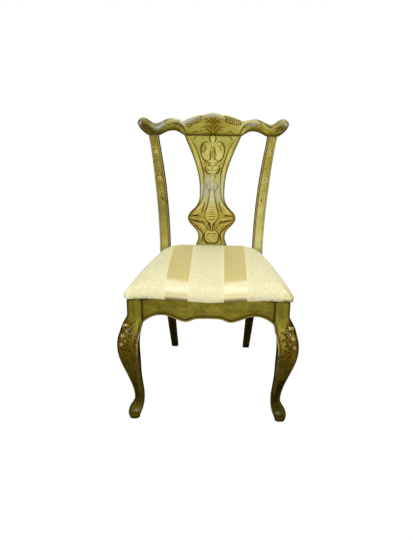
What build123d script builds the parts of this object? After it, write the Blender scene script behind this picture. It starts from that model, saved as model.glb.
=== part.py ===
"""A painted side chair: cabriole front legs, raked back with a carved vase
splat, and an upholstered seat on a jointed frame.

Millimetres, +Z up, the front of the chair faces -Y. The chair is worked out
with X = 0 on its centre plane, Y = 0 on the rear posts' centre line at the
seat and Z = 0 on the floor, and is then moved so that its origin lies under
the middle of its box. Every piece is a solid of its own in parts/.
"""
import os
from math import atan, cos, degrees, pi, radians, sin

from build123d import *

# ---- seat frame -----------------------------------------------------------
RAIL_TOP = 445.0          # top of the seat frame above the floor
FRONT_FACE = 458.0        # front of the leg blocks, ahead of the rear posts
BLOCK = 50.0              # square block at the top of a front leg
BLOCK_OUTER = 270.0       # outer face of that block from the centre plane
RAIL_THICK = 25.0         # side and rear rails
SIDE_RAIL_DEPTH = 68.0    # side rail at its middle
SIDE_RAIL_END = 80.0      # side rail at its ends
REAR_RAIL_DEPTH = 65.0
FRONT_RAIL_BACK = 38.0    # back of the front rail behind the leg blocks' face
SERPENT_SWELL = 5.0       # serpentine front: middle, ahead of the blocks' face
SERPENT_DIP = 16.0        # and its hollows, behind that face
SERPENT_END = 2.0         # and its ends, behind that face
SERPENT_DIP_X = 155.0     # hollows' distance from the centre plane
# lower edge of the front rail: share of the half length, depth below the top
APRON_EDGE = [
    (0.0, 59.5), (0.135, 61.0), (0.205, 64.5), (0.26, 70.5), (0.33, 76.5),
    (0.38, 77.0), (0.44, 74.0), (0.51, 69.5), (0.60, 62.5), (0.68, 59.0),
    (0.76, 58.5), (0.83, 61.0), (0.90, 67.0), (0.96, 75.0), (1.0, 81.5),
]

# ---- front legs -----------------------------------------------------------
GLIDE_HEIGHT = 3.0        # nail-on glide under each foot
GLIDE_DIA = 20.0
GLIDE_NAIL_DIA = 2.5
GLIDE_NAIL_LENGTH = 16.0
GLIDE_EASE = 1.0          # rounding of its lower edge
SOLE_EASE = 1.0           # sole of a front foot inside the pad above it
LEG_PLAIN = 50.0          # height of the plain block under the rail's top
TOE_LEAD = 18.0           # how much further forward than outward a foot stands
TOE_LEAD_FROM = 0.56      # share of the leg's height where that lead begins
BLOCK_EASE = 3.0          # rounding of the block's upright edges
# cabriole sections: share of the height under the plain block, outward shift
# of the centre from the block's centre, square size, corner rounding
CABRIOLE = [
    (0.005, 9.5, 36.0, 15.0), (0.030, 9.8, 42.0, 19.0), (0.057, 7.7, 46.6, 20.5),
    (0.085, 3.9, 46.8, 18.0), (0.115, -1.8, 41.2, 15.0), (0.145, -5.5, 36.0, 12.5),
    (0.185, -7.0, 33.5, 11.0), (0.235, -5.5, 34.2, 11.0), (0.300, -1.3, 36.7, 11.5),
    (0.375, 4.7, 42.4, 12.5), (0.452, 10.7, 50.6, 13.5), (0.530, 16.0, 60.0, 15.0),
    (0.607, 20.5, 67.0, 16.0), (0.684, 23.0, 70.6, 15.0), (0.761, 22.3, 71.5, 12.0),
    (0.838, 16.4, 71.0, 8.0), (0.890, 9.2, 66.4, 5.5), (0.945, 2.6, 56.0, 4.0),
    (1.0, 0.0, 50.0, 3.0),
]

# ---- rear posts: leg and stile in one -------------------------------------
POST_X_FOOT = 152.0       # centre of the rear foot from the centre plane
POST_X_SEAT = 180.0       # centre at the seat frame
POST_X_TOP = 226.0        # centre at the crest rail
POST_FLARE = 1.95         # how late the stiles spread on their way up
POST_WIDE = 41.0
POST_DEEP = 34.0
POST_TOP_DEEP = 28.0
FOOT_SIZE = 27.0
FOOT_RAKE = 84.0          # rear foot behind the post's centre at the seat
BACK_RAKE = 79.0          # post's centre at the crest, behind that at the seat
RAKE_START = 440.0        # height where the back begins to lean
RAKE_POWER = 1.5
LEG_RAKE_START = 380.0    # height under which the rear legs sweep back
LEG_RAKE_POWER = 1.6
POST_EASE = 4.0
LEG_SECTIONS = 5          # sections of a rear leg under the seat frame
# stile above the seat frame: share of its height, width as a share of the post's
STILE_WIDTHS = [(0.0, 1.0), (0.30, 0.985), (0.60, 0.965), (0.80, 0.89), (0.92, 0.90), (1.0, 1.04)]

# ---- crest rail -----------------------------------------------------------
JOINT_Z = 902.0           # seam between posts, splat and crest at the middle
CREST_THICK = 32.0
CREST_EAR_THICK = 24.0
CREST_ROUND = 9.0         # rounding of the crest's upper edges
CREST_EASE = 2.5          # and of its lower edges
EAR_ROUND = 0.4           # most of an ear's height that a rounding takes
CREST_HALF = 288.0        # ear tip from the centre plane
SEAM_STOCK = 3.0          # cut away under the crest to leave flat seams
# crest from the middle to the ear, in spans over the splat, the gap, the post
# and out along the ear: share of the span, upper and lower edge over the seam
OVER_SPLAT = [
    (0.0, 82.5, -SEAM_STOCK), (0.08, 82.2, -SEAM_STOCK), (0.16, 80.0, -SEAM_STOCK),
    (0.26, 76.0, -SEAM_STOCK), (0.42, 74.0, -SEAM_STOCK), (0.60, 70.5, -SEAM_STOCK),
    (0.75, 65.0, -SEAM_STOCK), (0.89, 59.5, -SEAM_STOCK),
]
OVER_GAP = [
    (0.0, 55.5, -SEAM_STOCK), (0.12, 53.3, 6.0), (0.24, 57.0, 13.0), (0.38, 59.5, 17.3),
    (0.54, 60.3, 17.3), (0.70, 58.0, 13.3), (0.86, 51.0, 6.0),
]
OVER_POST = [(0.0, 44.5, -SEAM_STOCK), (0.38, 42.0, -SEAM_STOCK), (0.72, 47.5, -SEAM_STOCK)]
OVER_EAR = [
    (0.0, 55.5, -SEAM_STOCK), (0.22, 60.0, 3.5), (0.45, 62.3, 10.5), (0.68, 60.5, 19.0),
    (0.86, 56.0, 28.0), (0.97, 50.5, 35.5), (1.0, 47.5, 38.5),
]

# ---- splat and shoe -------------------------------------------------------
SHOE_TOP = 475.0
SHOE_LENGTH = 190.0
SHOE_DEEP = 24.0
SHOE_TOP_DEEP = 20.0
SHOE_TAPER = 15.0         # each end of the shoe, drawn in at its top
SPLAT_THICK = 12.0
SPLAT_TENON = 14.0        # tongue into the crest and into the shoe
TENON_SETBACK = 12.0      # shoulders beside each tongue
# share of the height from shoe to crest, half width
SPLAT_EDGE = [
    (0.0, 66.0), (0.045, 57.5), (0.080, 52.5), (0.120, 51.5), (0.165, 58.5),
    (0.203, 73.0), (0.245, 87.5), (0.284, 92.0), (0.316, 87.0), (0.350, 74.0),
    (0.387, 59.5), (0.435, 49.5), (0.48, 47.2), (0.55, 47.5), (0.62, 50.0),
    (0.69, 56.0), (0.76, 65.0), (0.83, 76.5), (0.90, 89.0), (0.96, 101.0), (1.0, 108.0),
]

# ---- seat -----------------------------------------------------------------
COVER_THICK = 1.6
COVER_PROUD = 6.0         # cover ahead of the rail's face
COVER_OVERHANG = 17.0     # cover's front corner past a leg block's outer face
COVER_REAR_REACH = 16.0   # cover's rear corner past a rear post's centre
COVER_REAR_GAP = 2.5      # cover in front of the rear posts
COVER_CORNER = 24.0       # rounding of the cover's front corners, in plan
COVER_REAR_CORNER = 48.0
COVER_SIDE_BOW = 9.0      # how far the cover's sides bow out between corners
SEAT_CROWN = 52.0         # height of the seat over the rail's top
BOARD_THICK = 12.0
HEM_TURN = 0.84           # size of the hole inside the turned-under hem
DUST_THICK = 0.8
DUST_GAP = 2.0            # dust cover inside the rails
SEAT_TUCK = 0.975         # size of the seat's lowest section, drawn in under it
SEAT_WAIST = 0.2          # share of the crown's height where the seat is widest
SEAT_FLAT = 0.45          # size of the nearly flat top
SEAT_STEPS = 9            # sections of the swelling above its widest
SEAT_RISE_POWER = 1.1     # the edge's upright roundness
SEAT_ROUND_POWER = 0.55   # and its level roundness

# ---- joints and fasteners -------------------------------------------------
DOWEL_DIA = 10.0
DOWEL_REACH = 20.0        # into each piece
DOWEL_PITCH = 30.0        # between the two dowels of a joint
CREST_DOWEL_DIA = 8.0     # the stiles are narrower than the rails
CREST_DOWEL_PITCH = 16.0
FIT = 0.1                 # clearance of dowels, tenons and screws, each side
BLIND = 1.0               # room past a dowel's or screw's end
BRACE_THICK = 36.0        # corner block, upright
BRACE_WIDE = 30.0
BRACE_REACH = 78.0        # along each rail from the frame's inner corner
BRACE_DROP = 6.0          # its top under the rail's top
SCREW_DIA = 4.0
SCREW_HEAD_DIA = 8.0
SCREW_HEAD = 3.0
SCREW_POINT = 5.0         # tapered end of a screw
SCREW_TAPER = 17.0        # degrees
SCREW_BITE = 15.0         # into rail or board
SCREW_SEAT = 12.0         # head above the rail's face
SEAT_SCREW_BITE = 9.0

RAKE_ANGLE = degrees(atan(BACK_RAKE * RAKE_POWER / (JOINT_Z - RAKE_START)))
JOINT_PLANE = Plane(
    origin=(0, BACK_RAKE, JOINT_Z),
    x_dir=(1, 0, 0),
    z_dir=(0, sin(radians(RAKE_ANGLE)), cos(radians(RAKE_ANGLE))),
)
BLOCK_INNER = BLOCK_OUTER - BLOCK
BLOCK_REAR = FRONT_FACE - BLOCK
RAIL_BACK = FRONT_FACE - FRONT_RAIL_BACK
COVER_FRONT_HALF = BLOCK_OUTER + COVER_OVERHANG
COVER_REAR_HALF = POST_X_SEAT + COVER_REAR_REACH
SWEEP = 2000.0            # longer than the chair in any direction
BAND_STEPS = 8            # points along the back's curve


def face_from(points, closed_by=None):
    """A face inside a spline through the points, closed by straight lines."""
    spline = Spline(*[Vector(*p) for p in points])
    corners = [points[-1]] + list(closed_by or []) + [points[0]]
    edges = [spline] + [Line(a, b) for a, b in zip(corners, corners[1:])]
    return make_face(edges)


def mirrored(shape):
    """The same piece for the other side of the chair."""
    return mirror(shape, about=Plane.YZ)


def both(shapes):
    """Pieces of the right side with their mirrored fellows."""
    return list(shapes) + [mirrored(shape) for shape in shapes]


def back_y(z):
    """Centre line of the back, seen from the side."""
    if z > RAKE_START:
        return BACK_RAKE * ((z - RAKE_START) / (JOINT_Z - RAKE_START)) ** RAKE_POWER
    if z < LEG_RAKE_START:
        return FOOT_RAKE * ((LEG_RAKE_START - z) / LEG_RAKE_START) ** LEG_RAKE_POWER
    return 0.0


def post_x(z):
    """Centre line of a rear post, seen from the front."""
    if z <= RAIL_TOP:
        return POST_X_FOOT + (POST_X_SEAT - POST_X_FOOT) * z / RAIL_TOP
    rise = (z - RAIL_TOP) / (JOINT_Z - RAIL_TOP)
    return POST_X_SEAT + (POST_X_TOP - POST_X_SEAT) * rise**POST_FLARE


# ---- front legs -----------------------------------------------------------
def toe_lead(share):
    """How far a section lies ahead of the leg's diagonal, easing in downwards."""
    t = min(max((TOE_LEAD_FROM - share) / TOE_LEAD_FROM, 0.0), 1.0)
    return TOE_LEAD * t * t * (3 - 2 * t)


def front_leg():
    """Cabriole leg: a square section that swells and sweeps along a diagonal."""
    top = RAIL_TOP - LEG_PLAIN
    span = top - GLIDE_HEIGHT
    centre_x = BLOCK_OUTER - BLOCK / 2
    centre_y = FRONT_FACE - BLOCK / 2
    sections = []
    for share, shift, size, ease in CABRIOLE:
        at = Pos(centre_x + shift, -(centre_y + shift + toe_lead(share)), GLIDE_HEIGHT + share * span)
        sections.append(at * RectangleRounded(size, size, ease))
    leg = loft(sections)
    block = Pos(centre_x, -centre_y, top) * RectangleRounded(BLOCK, BLOCK, BLOCK_EASE)
    leg += extrude(block, LEG_PLAIN)
    first = CABRIOLE[0]
    sole_z = GLIDE_HEIGHT + first[0] * span
    foot_x, foot_y = foot_centre()
    ground = Vector(foot_x, foot_y, GLIDE_HEIGHT)
    sole = rod(ground, (0, 0, 1), sole_z - GLIDE_HEIGHT, first[2] / 2 - SOLE_EASE)
    return leg + sole


def foot_centre():
    """Middle of a front foot on the floor."""
    first = CABRIOLE[0]
    x = BLOCK_OUTER - BLOCK / 2 + first[1]
    return x, -(FRONT_FACE - BLOCK / 2 + first[1] + toe_lead(first[0]))


# ---- rear posts -----------------------------------------------------------
def rear_post():
    """Rear leg and stile: a rounded section carried up two raked curves."""
    sections = []
    sweep = LEG_RAKE_START - GLIDE_HEIGHT
    for n in range(LEG_SECTIONS + 1):
        z = GLIDE_HEIGHT + sweep * n / LEG_SECTIONS
        taper = (LEG_RAKE_START - z) / LEG_RAKE_START
        wide = POST_WIDE + (FOOT_SIZE - POST_WIDE) * taper
        deep = POST_DEEP + (FOOT_SIZE - POST_DEEP) * taper
        sections.append(Pos(post_x(z), back_y(z), z) * RectangleRounded(wide, deep, POST_EASE))
    stile = JOINT_Z + CREST_THICK - RAIL_TOP
    for share, width in STILE_WIDTHS:
        z = RAIL_TOP + stile * share
        deep = POST_DEEP + (POST_TOP_DEEP - POST_DEEP) * share
        sections.append(Pos(post_x(z), back_y(z), z) * RectangleRounded(POST_WIDE * width, deep, POST_EASE))
    post = loft(sections)
    return split(post, bisect_by=JOINT_PLANE, keep=Keep.BOTTOM)


# ---- seat rails -----------------------------------------------------------
def serpent(offset=0.0, half=BLOCK_INNER):
    """Plan of the serpentine front from left to right, drawn offset forward."""
    middle = -(FRONT_FACE + SERPENT_SWELL + offset)
    dip = -(FRONT_FACE - SERPENT_DIP + offset)
    end = -(FRONT_FACE - SERPENT_END + offset)
    crossing = (middle + dip) / 2
    right = [(SERPENT_DIP_X / 2, crossing), (SERPENT_DIP_X, dip), (half, end)]
    left = [(-x, y) for x, y in reversed(right)]
    return left + [(0.0, middle)] + right


def front_rail(leg_pair):
    """Serpentine rail with a shaped lower edge."""
    plan = face_from(serpent(), [(BLOCK_INNER, -RAIL_BACK), (-BLOCK_INNER, -RAIL_BACK)])
    bar = extrude(plan, RAIL_TOP)
    half = [(share * BLOCK_INNER, RAIL_TOP - deep) for share, deep in APRON_EDGE]
    edge = [(-x, z) for x, z in reversed(half[1:])] + half
    outline = face_from(edge, [(BLOCK_INNER, RAIL_TOP), (-BLOCK_INNER, RAIL_TOP)])
    front = extrude(Plane.XZ * outline, SWEEP / 2, both=True)
    return (bar & front) - leg_pair


def side_rail_line(inset):
    """Front and rear ends of a side rail's face, set in from its outer face."""
    front_x = BLOCK_OUTER - BLOCK_EASE - inset
    rear_x = POST_X_SEAT + POST_WIDE / 2 - POST_EASE - inset
    return (front_x, -BLOCK_REAR), (rear_x, -POST_DEEP / 2)


def side_rail(leg, post):
    """Side rail from the leg's block to the post, arched on its lower edge."""
    front_out, rear_out = side_rail_line(0)
    front_in, rear_in = side_rail_line(RAIL_THICK)
    plan = make_face(Polyline(front_out, rear_out, rear_in, front_in, close=True))
    bar = extrude(plan, RAIL_TOP)
    front_y, rear_y = front_out[1], rear_out[1]
    middle = ((front_y + rear_y) / 2, RAIL_TOP - SIDE_RAIL_DEPTH)
    low = RAIL_TOP - SIDE_RAIL_END
    arch = ThreePointArc((front_y, low), middle, (rear_y, low))
    rest = Polyline((rear_y, low), (rear_y, RAIL_TOP), (front_y, RAIL_TOP), (front_y, low))
    side = extrude(Plane.YZ * make_face([arch, rest]), SWEEP, both=True)
    return (bar & side) - leg - post


def rear_rail(posts):
    """Rear rail between the posts."""
    low = RAIL_TOP - REAR_RAIL_DEPTH
    bar = Pos(0, 0, low) * Box(
        2 * POST_X_SEAT, RAIL_THICK, REAR_RAIL_DEPTH, align=(Align.CENTER, Align.CENTER, Align.MIN)
    )
    return bar - posts


# ---- crest rail and splat -------------------------------------------------
def crest_stations():
    """Sections of the crest: distance from the middle, upper and lower edge."""
    inner = POST_X_TOP - POST_WIDE / 2
    outer = POST_X_TOP + POST_WIDE / 2
    splat = SPLAT_EDGE[-1][1]
    spans = [
        (0, splat, OVER_SPLAT), (splat, inner, OVER_GAP),
        (inner, outer, OVER_POST), (outer, CREST_HALF, OVER_EAR),
    ]
    slope = cos(radians(RAKE_ANGLE))
    return [
        (start + share * (end - start), high / slope, low / slope)
        for start, end, rows in spans
        for share, high, low in rows
    ]


def crest_section(x, high, low):
    """Cross-section of the crest, well rounded above and eased below."""
    outer = POST_X_TOP + POST_WIDE / 2
    thick = CREST_THICK
    if x > outer:
        thick += (CREST_EAR_THICK - CREST_THICK) * (x - outer) / (CREST_HALF - outer)
    upper = min(CREST_ROUND, EAR_ROUND * (high - low))
    lower = min(CREST_EASE, EAR_ROUND * (high - low))
    bar = Pos(0, (high + low) / 2) * Rectangle(thick, high - low)
    bar = fillet(bar.vertices().sort_by(Axis.Y)[-2:], upper)
    bar = fillet(bar.vertices().sort_by(Axis.Y)[:2], lower)
    across = Plane(
        origin=JOINT_PLANE.origin + Vector(x, 0, 0), x_dir=JOINT_PLANE.y_dir, z_dir=(1, 0, 0)
    )
    return across * bar


def crest_rail():
    """Crest with rolled ears, carried through its sections and cut to its seam."""
    half = loft([crest_section(*station) for station in crest_stations()])
    half = split(half, bisect_by=JOINT_PLANE, keep=Keep.TOP)
    return half + mirrored(half)


def band(thick, low, high):
    """A sheet that follows the back's curve between two heights."""
    heights = [low + (high - low) * n / BAND_STEPS for n in range(BAND_STEPS + 1)]
    front = [(back_y(z) - thick / 2, z) for z in heights]
    rear = [(back_y(z) + thick / 2, z) for z in heights]
    edges = [
        Spline(*[Vector(*p) for p in front]),
        Line(front[-1], rear[-1]),
        Spline(*[Vector(*p) for p in rear]),
        Line(rear[0], front[0]),
    ]
    return extrude(Plane.YZ * make_face(edges), SWEEP / 2, both=True)


def splat_tongue(half, low, high, grow=0.0):
    """Flat tongue of the splat, or the mortise for it."""
    thick = SPLAT_THICK / 2 + 2 * grow
    return band(thick, low, high) & Pos(0, 0, low) * Box(
        2 * (half + grow), SWEEP, high - low, align=(Align.CENTER, Align.CENTER, Align.MIN)
    )


def tongue_halves():
    """Half lengths of the lower and the upper tongue."""
    return SPLAT_EDGE[0][1] - TENON_SETBACK, SPLAT_EDGE[-1][1] - TENON_SETBACK


def crest_tongue(grow=0.0):
    """Upper tongue, from under the seam to its depth in the crest."""
    high = JOINT_Z + SPLAT_TENON + grow
    return splat_tongue(tongue_halves()[1], JOINT_Z - CREST_THICK, high, grow)


def shoe_tongue(grow=0.0):
    """Lower tongue, down into the shoe."""
    low = SHOE_TOP - SPLAT_TENON - grow
    return splat_tongue(tongue_halves()[0], low, SHOE_TOP + SPLAT_TENON, grow)


def back_splat():
    """Vase splat, sawn to its outline from a board that follows the back."""
    over = JOINT_Z + CREST_THICK
    right = [(half, SHOE_TOP + share * (JOINT_Z - SHOE_TOP)) for share, half in SPLAT_EDGE]
    top_half = right[-1][0]
    edges = [
        Spline(*[Vector(*p) for p in right]),
        Polyline((top_half, JOINT_Z), (top_half, over), (-top_half, over), (-top_half, JOINT_Z)),
        Spline(*[Vector(-x, z) for x, z in right]),
        Line((-right[0][0], SHOE_TOP), (right[0][0], SHOE_TOP)),
    ]
    front = extrude(Plane.XZ * make_face(edges), SWEEP / 2, both=True)
    board = band(SPLAT_THICK, SHOE_TOP, over) & front
    board = split(board, bisect_by=JOINT_PLANE, keep=Keep.BOTTOM)
    return board + crest_tongue() + shoe_tongue()


def splat_shoe():
    """Shoe on the rear rail, narrowing to the splat, with a mortise."""
    def layer(z, length, deep):
        return Pos(0, 0, z) * Rectangle(length, deep)

    middle = (RAIL_TOP + SHOE_TOP) / 2
    base = extrude(layer(RAIL_TOP, SHOE_LENGTH, SHOE_DEEP), middle - RAIL_TOP)
    top = layer(SHOE_TOP, SHOE_LENGTH - 2 * SHOE_TAPER, SHOE_TOP_DEEP)
    cap = loft([layer(middle, SHOE_LENGTH, SHOE_DEEP), top])
    return base + cap - shoe_tongue(FIT)


# ---- seat -----------------------------------------------------------------
def seat_outline():
    """Plan of the seat: serpentine front, bowed sides, rounded corners."""
    rear_y = -(POST_DEEP / 2 + COVER_REAR_GAP)
    points = serpent(COVER_PROUD, COVER_FRONT_HALF)
    front = Spline(*[Vector(*p) for p in points])
    front_corner, rear_corner = Vector(*points[-1]), Vector(COVER_REAR_HALF, rear_y)
    bow = (front_corner + rear_corner) / 2 + Vector(COVER_SIDE_BOW, 0)
    side = ThreePointArc(front_corner, bow, rear_corner)
    rear = Line(rear_corner, (-rear_corner.X, rear_y))
    plan = make_face([front, side, rear, mirrored(side)])
    rear_corners = plan.vertices().sort_by(Axis.Y)[-2:]
    plan = fillet(rear_corners, COVER_REAR_CORNER)
    across = plan.vertices().sort_by(Axis.X)
    return fillet([across[0], across[-1]], COVER_CORNER)


def seat_centre():
    """Middle of the seat, which its sections shrink towards."""
    return -(FRONT_FACE + POST_DEEP / 2) / 2


def swelling(inset=0.0):
    """The seat's crowned body, its surface set in all round.

    Above its widest section the edge follows a quarter of a squarish ellipse:
    the size falls with a power of the cosine while the height rises with the sine.
    """
    outline = Pos(0, -seat_centre(), 0) * seat_outline()
    tight = 1.0 - inset / COVER_REAR_HALF
    crown = SEAT_CROWN - 2 * inset
    rows = [(0.0, SEAT_TUCK)]
    for step in range(SEAT_STEPS + 1):
        turn = step / SEAT_STEPS * pi / 2
        rise = SEAT_WAIST + (1 - SEAT_WAIST) * sin(turn) ** SEAT_RISE_POWER
        rows.append((rise, SEAT_FLAT + (1 - SEAT_FLAT) * cos(turn) ** SEAT_ROUND_POWER))
    sections = []
    for share, size in rows:
        at = Pos(0, seat_centre(), RAIL_TOP + inset + share * crown)
        sections.append(at * scale(outline, by=size * tight))
    return loft(sections, ruled=True)


def flat_piece(size, low, high):
    """A flat sheet with the seat's outline, between two heights."""
    outline = Pos(0, -seat_centre(), 0) * seat_outline()
    return extrude(Pos(0, seat_centre(), low) * scale(outline, by=size), high - low)


def slab(low, high):
    """All of space between two heights."""
    return Pos(0, 0, low) * Box(SWEEP, SWEEP, high - low, align=(Align.CENTER, Align.CENTER, Align.MIN))


def frame_opening(gap=0.0):
    """Plan polygon inside the four rails."""
    front_in, rear_in = side_rail_line(RAIL_THICK + gap)
    front_y = -(RAIL_BACK - gap)
    rear_y = -(RAIL_THICK / 2 + gap)
    lean = (front_in[0] - rear_in[0]) / (front_in[1] - rear_in[1])
    front_x = front_in[0] + lean * (front_y - front_in[1])
    rear_x = rear_in[0] + lean * (rear_y - rear_in[1])
    return [(front_x, front_y), (rear_x, rear_y), (-rear_x, rear_y), (-front_x, front_y)]


def opening_solid(gap, low, high):
    """The space inside the rails, between two heights."""
    plan = make_face(Polyline(*frame_opening(gap), close=True))
    return extrude(Pos(0, 0, low) * plan, high - low)


# ---- dowels ---------------------------------------------------------------
def rod(start, direction, length, radius):
    """A round bar from a point along a direction."""
    plane = Plane(origin=start, z_dir=direction)
    return extrude(plane * Circle(radius), length)


def dowel_pair(middle, direction, spread, pitch=DOWEL_PITCH, dia=DOWEL_DIA, grow=0.0, past=0.0):
    """Two dowels across a joint, or the holes for them."""
    d = Vector(*direction).normalized()
    s = Vector(*spread).normalized() * (pitch / 2)
    rods = []
    for side in (-1, 1):
        start = Vector(*middle) + s * side - d * (DOWEL_REACH + past)
        rods.append(rod(start, d, 2 * (DOWEL_REACH + past), dia / 2 + grow))
    return rods


def joint_places():
    """Where each kind of dowel joint lies, on the right side of the chair."""
    rail_mid = RAIL_TOP - REAR_RAIL_DEPTH / 2
    up = (0, 0, 1)
    front_out, rear_out = side_rail_line(RAIL_THICK / 2)
    front_deep = (RAIL_BACK + FRONT_FACE - SERPENT_DIP) / 2
    rear_inner = post_x(rail_mid) - POST_WIDE / 2
    top = JOINT_PLANE.origin
    crest_x = (POST_X_TOP + post_x(top.Z - DOWEL_REACH)) / 2
    crest_middle = (crest_x, top.Y, top.Z)
    return {
        "front_rail_dowels": ((BLOCK_INNER, -front_deep, rail_mid), (1, 0, 0), up),
        "side_rail_front_dowels": ((front_out[0], front_out[1], rail_mid), (0, 1, 0), up),
        "side_rail_rear_dowels": ((rear_out[0], rear_out[1], rail_mid), (0, 1, 0), up),
        "rear_rail_dowels": ((rear_inner, 0, rail_mid), (1, 0, 0), up),
        "crest_dowels": (crest_middle, tuple(JOINT_PLANE.z_dir), (1, 0, 0), CREST_DOWEL_PITCH, CREST_DOWEL_DIA),
    }


# ---- corner blocks and screws ---------------------------------------------
def brace_ends(rear):
    """Middle of a brace's two ends: on the cross rail and on the side rail."""
    front_right, rear_right = [Vector(*p, 0) for p in frame_opening()[:2]]
    corner = rear_right if rear else front_right
    along = (rear_right - front_right).normalized() * (-1 if rear else 1)
    return corner + Vector(-BRACE_REACH, 0, 0), corner + along * BRACE_REACH


def corner_block(rear, neighbours):
    """Brace across a corner of the seat frame, cut to the rails and the leg."""
    cross, side = brace_ends(rear)
    run = (side - cross).normalized()
    across = Vector(-run.Y, run.X, 0) * (BRACE_WIDE / 2)
    past = run * BRACE_WIDE
    a, b = cross - past, side + past
    plan = make_face(Polyline(a + across, b + across, b - across, a - across, close=True))
    low = RAIL_TOP - BRACE_DROP - BRACE_THICK
    brace = extrude(Pos(0, 0, low) * plan, BRACE_THICK)
    brace = brace & opening_solid(0, low, RAIL_TOP)
    brace = brace - neighbours
    return brace.solids().sort_by(SortBy.VOLUME)[-1]


def screw_lines(rear):
    """Start of the rail's face and direction of the two screws of a brace."""
    cross, side = brace_ends(rear)
    front_right, rear_right = [Vector(*p, 0) for p in frame_opening()[:2]]
    along = (rear_right - front_right).normalized()
    outward = Vector(-along.Y, along.X, 0)
    if outward.X < 0:
        outward = outward * -1
    middle = RAIL_TOP - BRACE_DROP - BRACE_THICK / 2
    cross_out = Vector(0, 1 if rear else -1, 0)
    lift = Vector(0, 0, middle)
    return [(cross + lift, cross_out), (side + lift, outward)]


def screw(start, direction, length):
    """A wood screw from under its head: shank, tapered point and round head."""
    way = Vector(*direction).normalized()
    shank = rod(start, way, length - SCREW_POINT, SCREW_DIA / 2)
    tip = Plane(origin=start + way * (length - SCREW_POINT), z_dir=way)
    point = extrude(tip * Circle(SCREW_DIA / 2), SCREW_POINT, taper=SCREW_TAPER)
    return shank + point + rod(start - way * SCREW_HEAD, way, SCREW_HEAD, SCREW_HEAD_DIA / 2)


def rail_screw(face, direction):
    """Screw that lies across a rail's face, with its head inside the brace."""
    return screw(face - direction * SCREW_SEAT, direction, SCREW_SEAT + SCREW_BITE)


def rail_screw_hole(face, direction):
    """Hole for that screw, with a wide mouth for its head."""
    start = face - direction * SCREW_SEAT
    length = SCREW_SEAT + SCREW_BITE + BLIND
    shank = rod(start, direction, length, SCREW_DIA / 2 + FIT)
    mouth = rod(start, direction * -1, BRACE_REACH, SCREW_HEAD_DIA / 2 + 2 * FIT)
    return shank + mouth


def seat_screw_place(rear):
    """Middle of a brace, where a screw goes up into the seat board."""
    cross, side = brace_ends(rear)
    return (cross + side) * 0.5


def seat_screw_span(rear):
    """Start under a brace's lower face, and length, of a screw into the board."""
    place = seat_screw_place(rear)
    low = RAIL_TOP - BRACE_DROP - BRACE_THICK
    length = BRACE_THICK + BRACE_DROP + COVER_THICK + SEAT_SCREW_BITE
    return Vector(place.X, place.Y, low), length


def seat_screw(rear):
    """Screw from under a brace into the seat board."""
    start, length = seat_screw_span(rear)
    return screw(start, (0, 0, 1), length)


def seat_screw_hole(rear):
    """Hole for that screw."""
    start, length = seat_screw_span(rear)
    return rod(start, (0, 0, 1), length + BLIND, SCREW_DIA / 2 + FIT)


# ---- glides ---------------------------------------------------------------
def glide(x, y):
    """Nail-on glide with a flat sole."""
    disc = rod(Vector(x, y, 0), (0, 0, 1), GLIDE_HEIGHT, GLIDE_DIA / 2)
    disc = fillet(disc.edges().sort_by(Axis.Z)[:1], GLIDE_EASE)
    return disc + rod(Vector(x, y, GLIDE_HEIGHT), (0, 0, 1), GLIDE_NAIL_LENGTH, GLIDE_NAIL_DIA / 2)


def glide_hole(x, y):
    """Hole for the glide's nail."""
    return rod(Vector(x, y, 0), (0, 0, 1), GLIDE_HEIGHT + GLIDE_NAIL_LENGTH + BLIND, GLIDE_NAIL_DIA / 2 + FIT)


def group(solids):
    """Several like solids in one node."""
    return Compound(children=list(solids))


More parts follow.
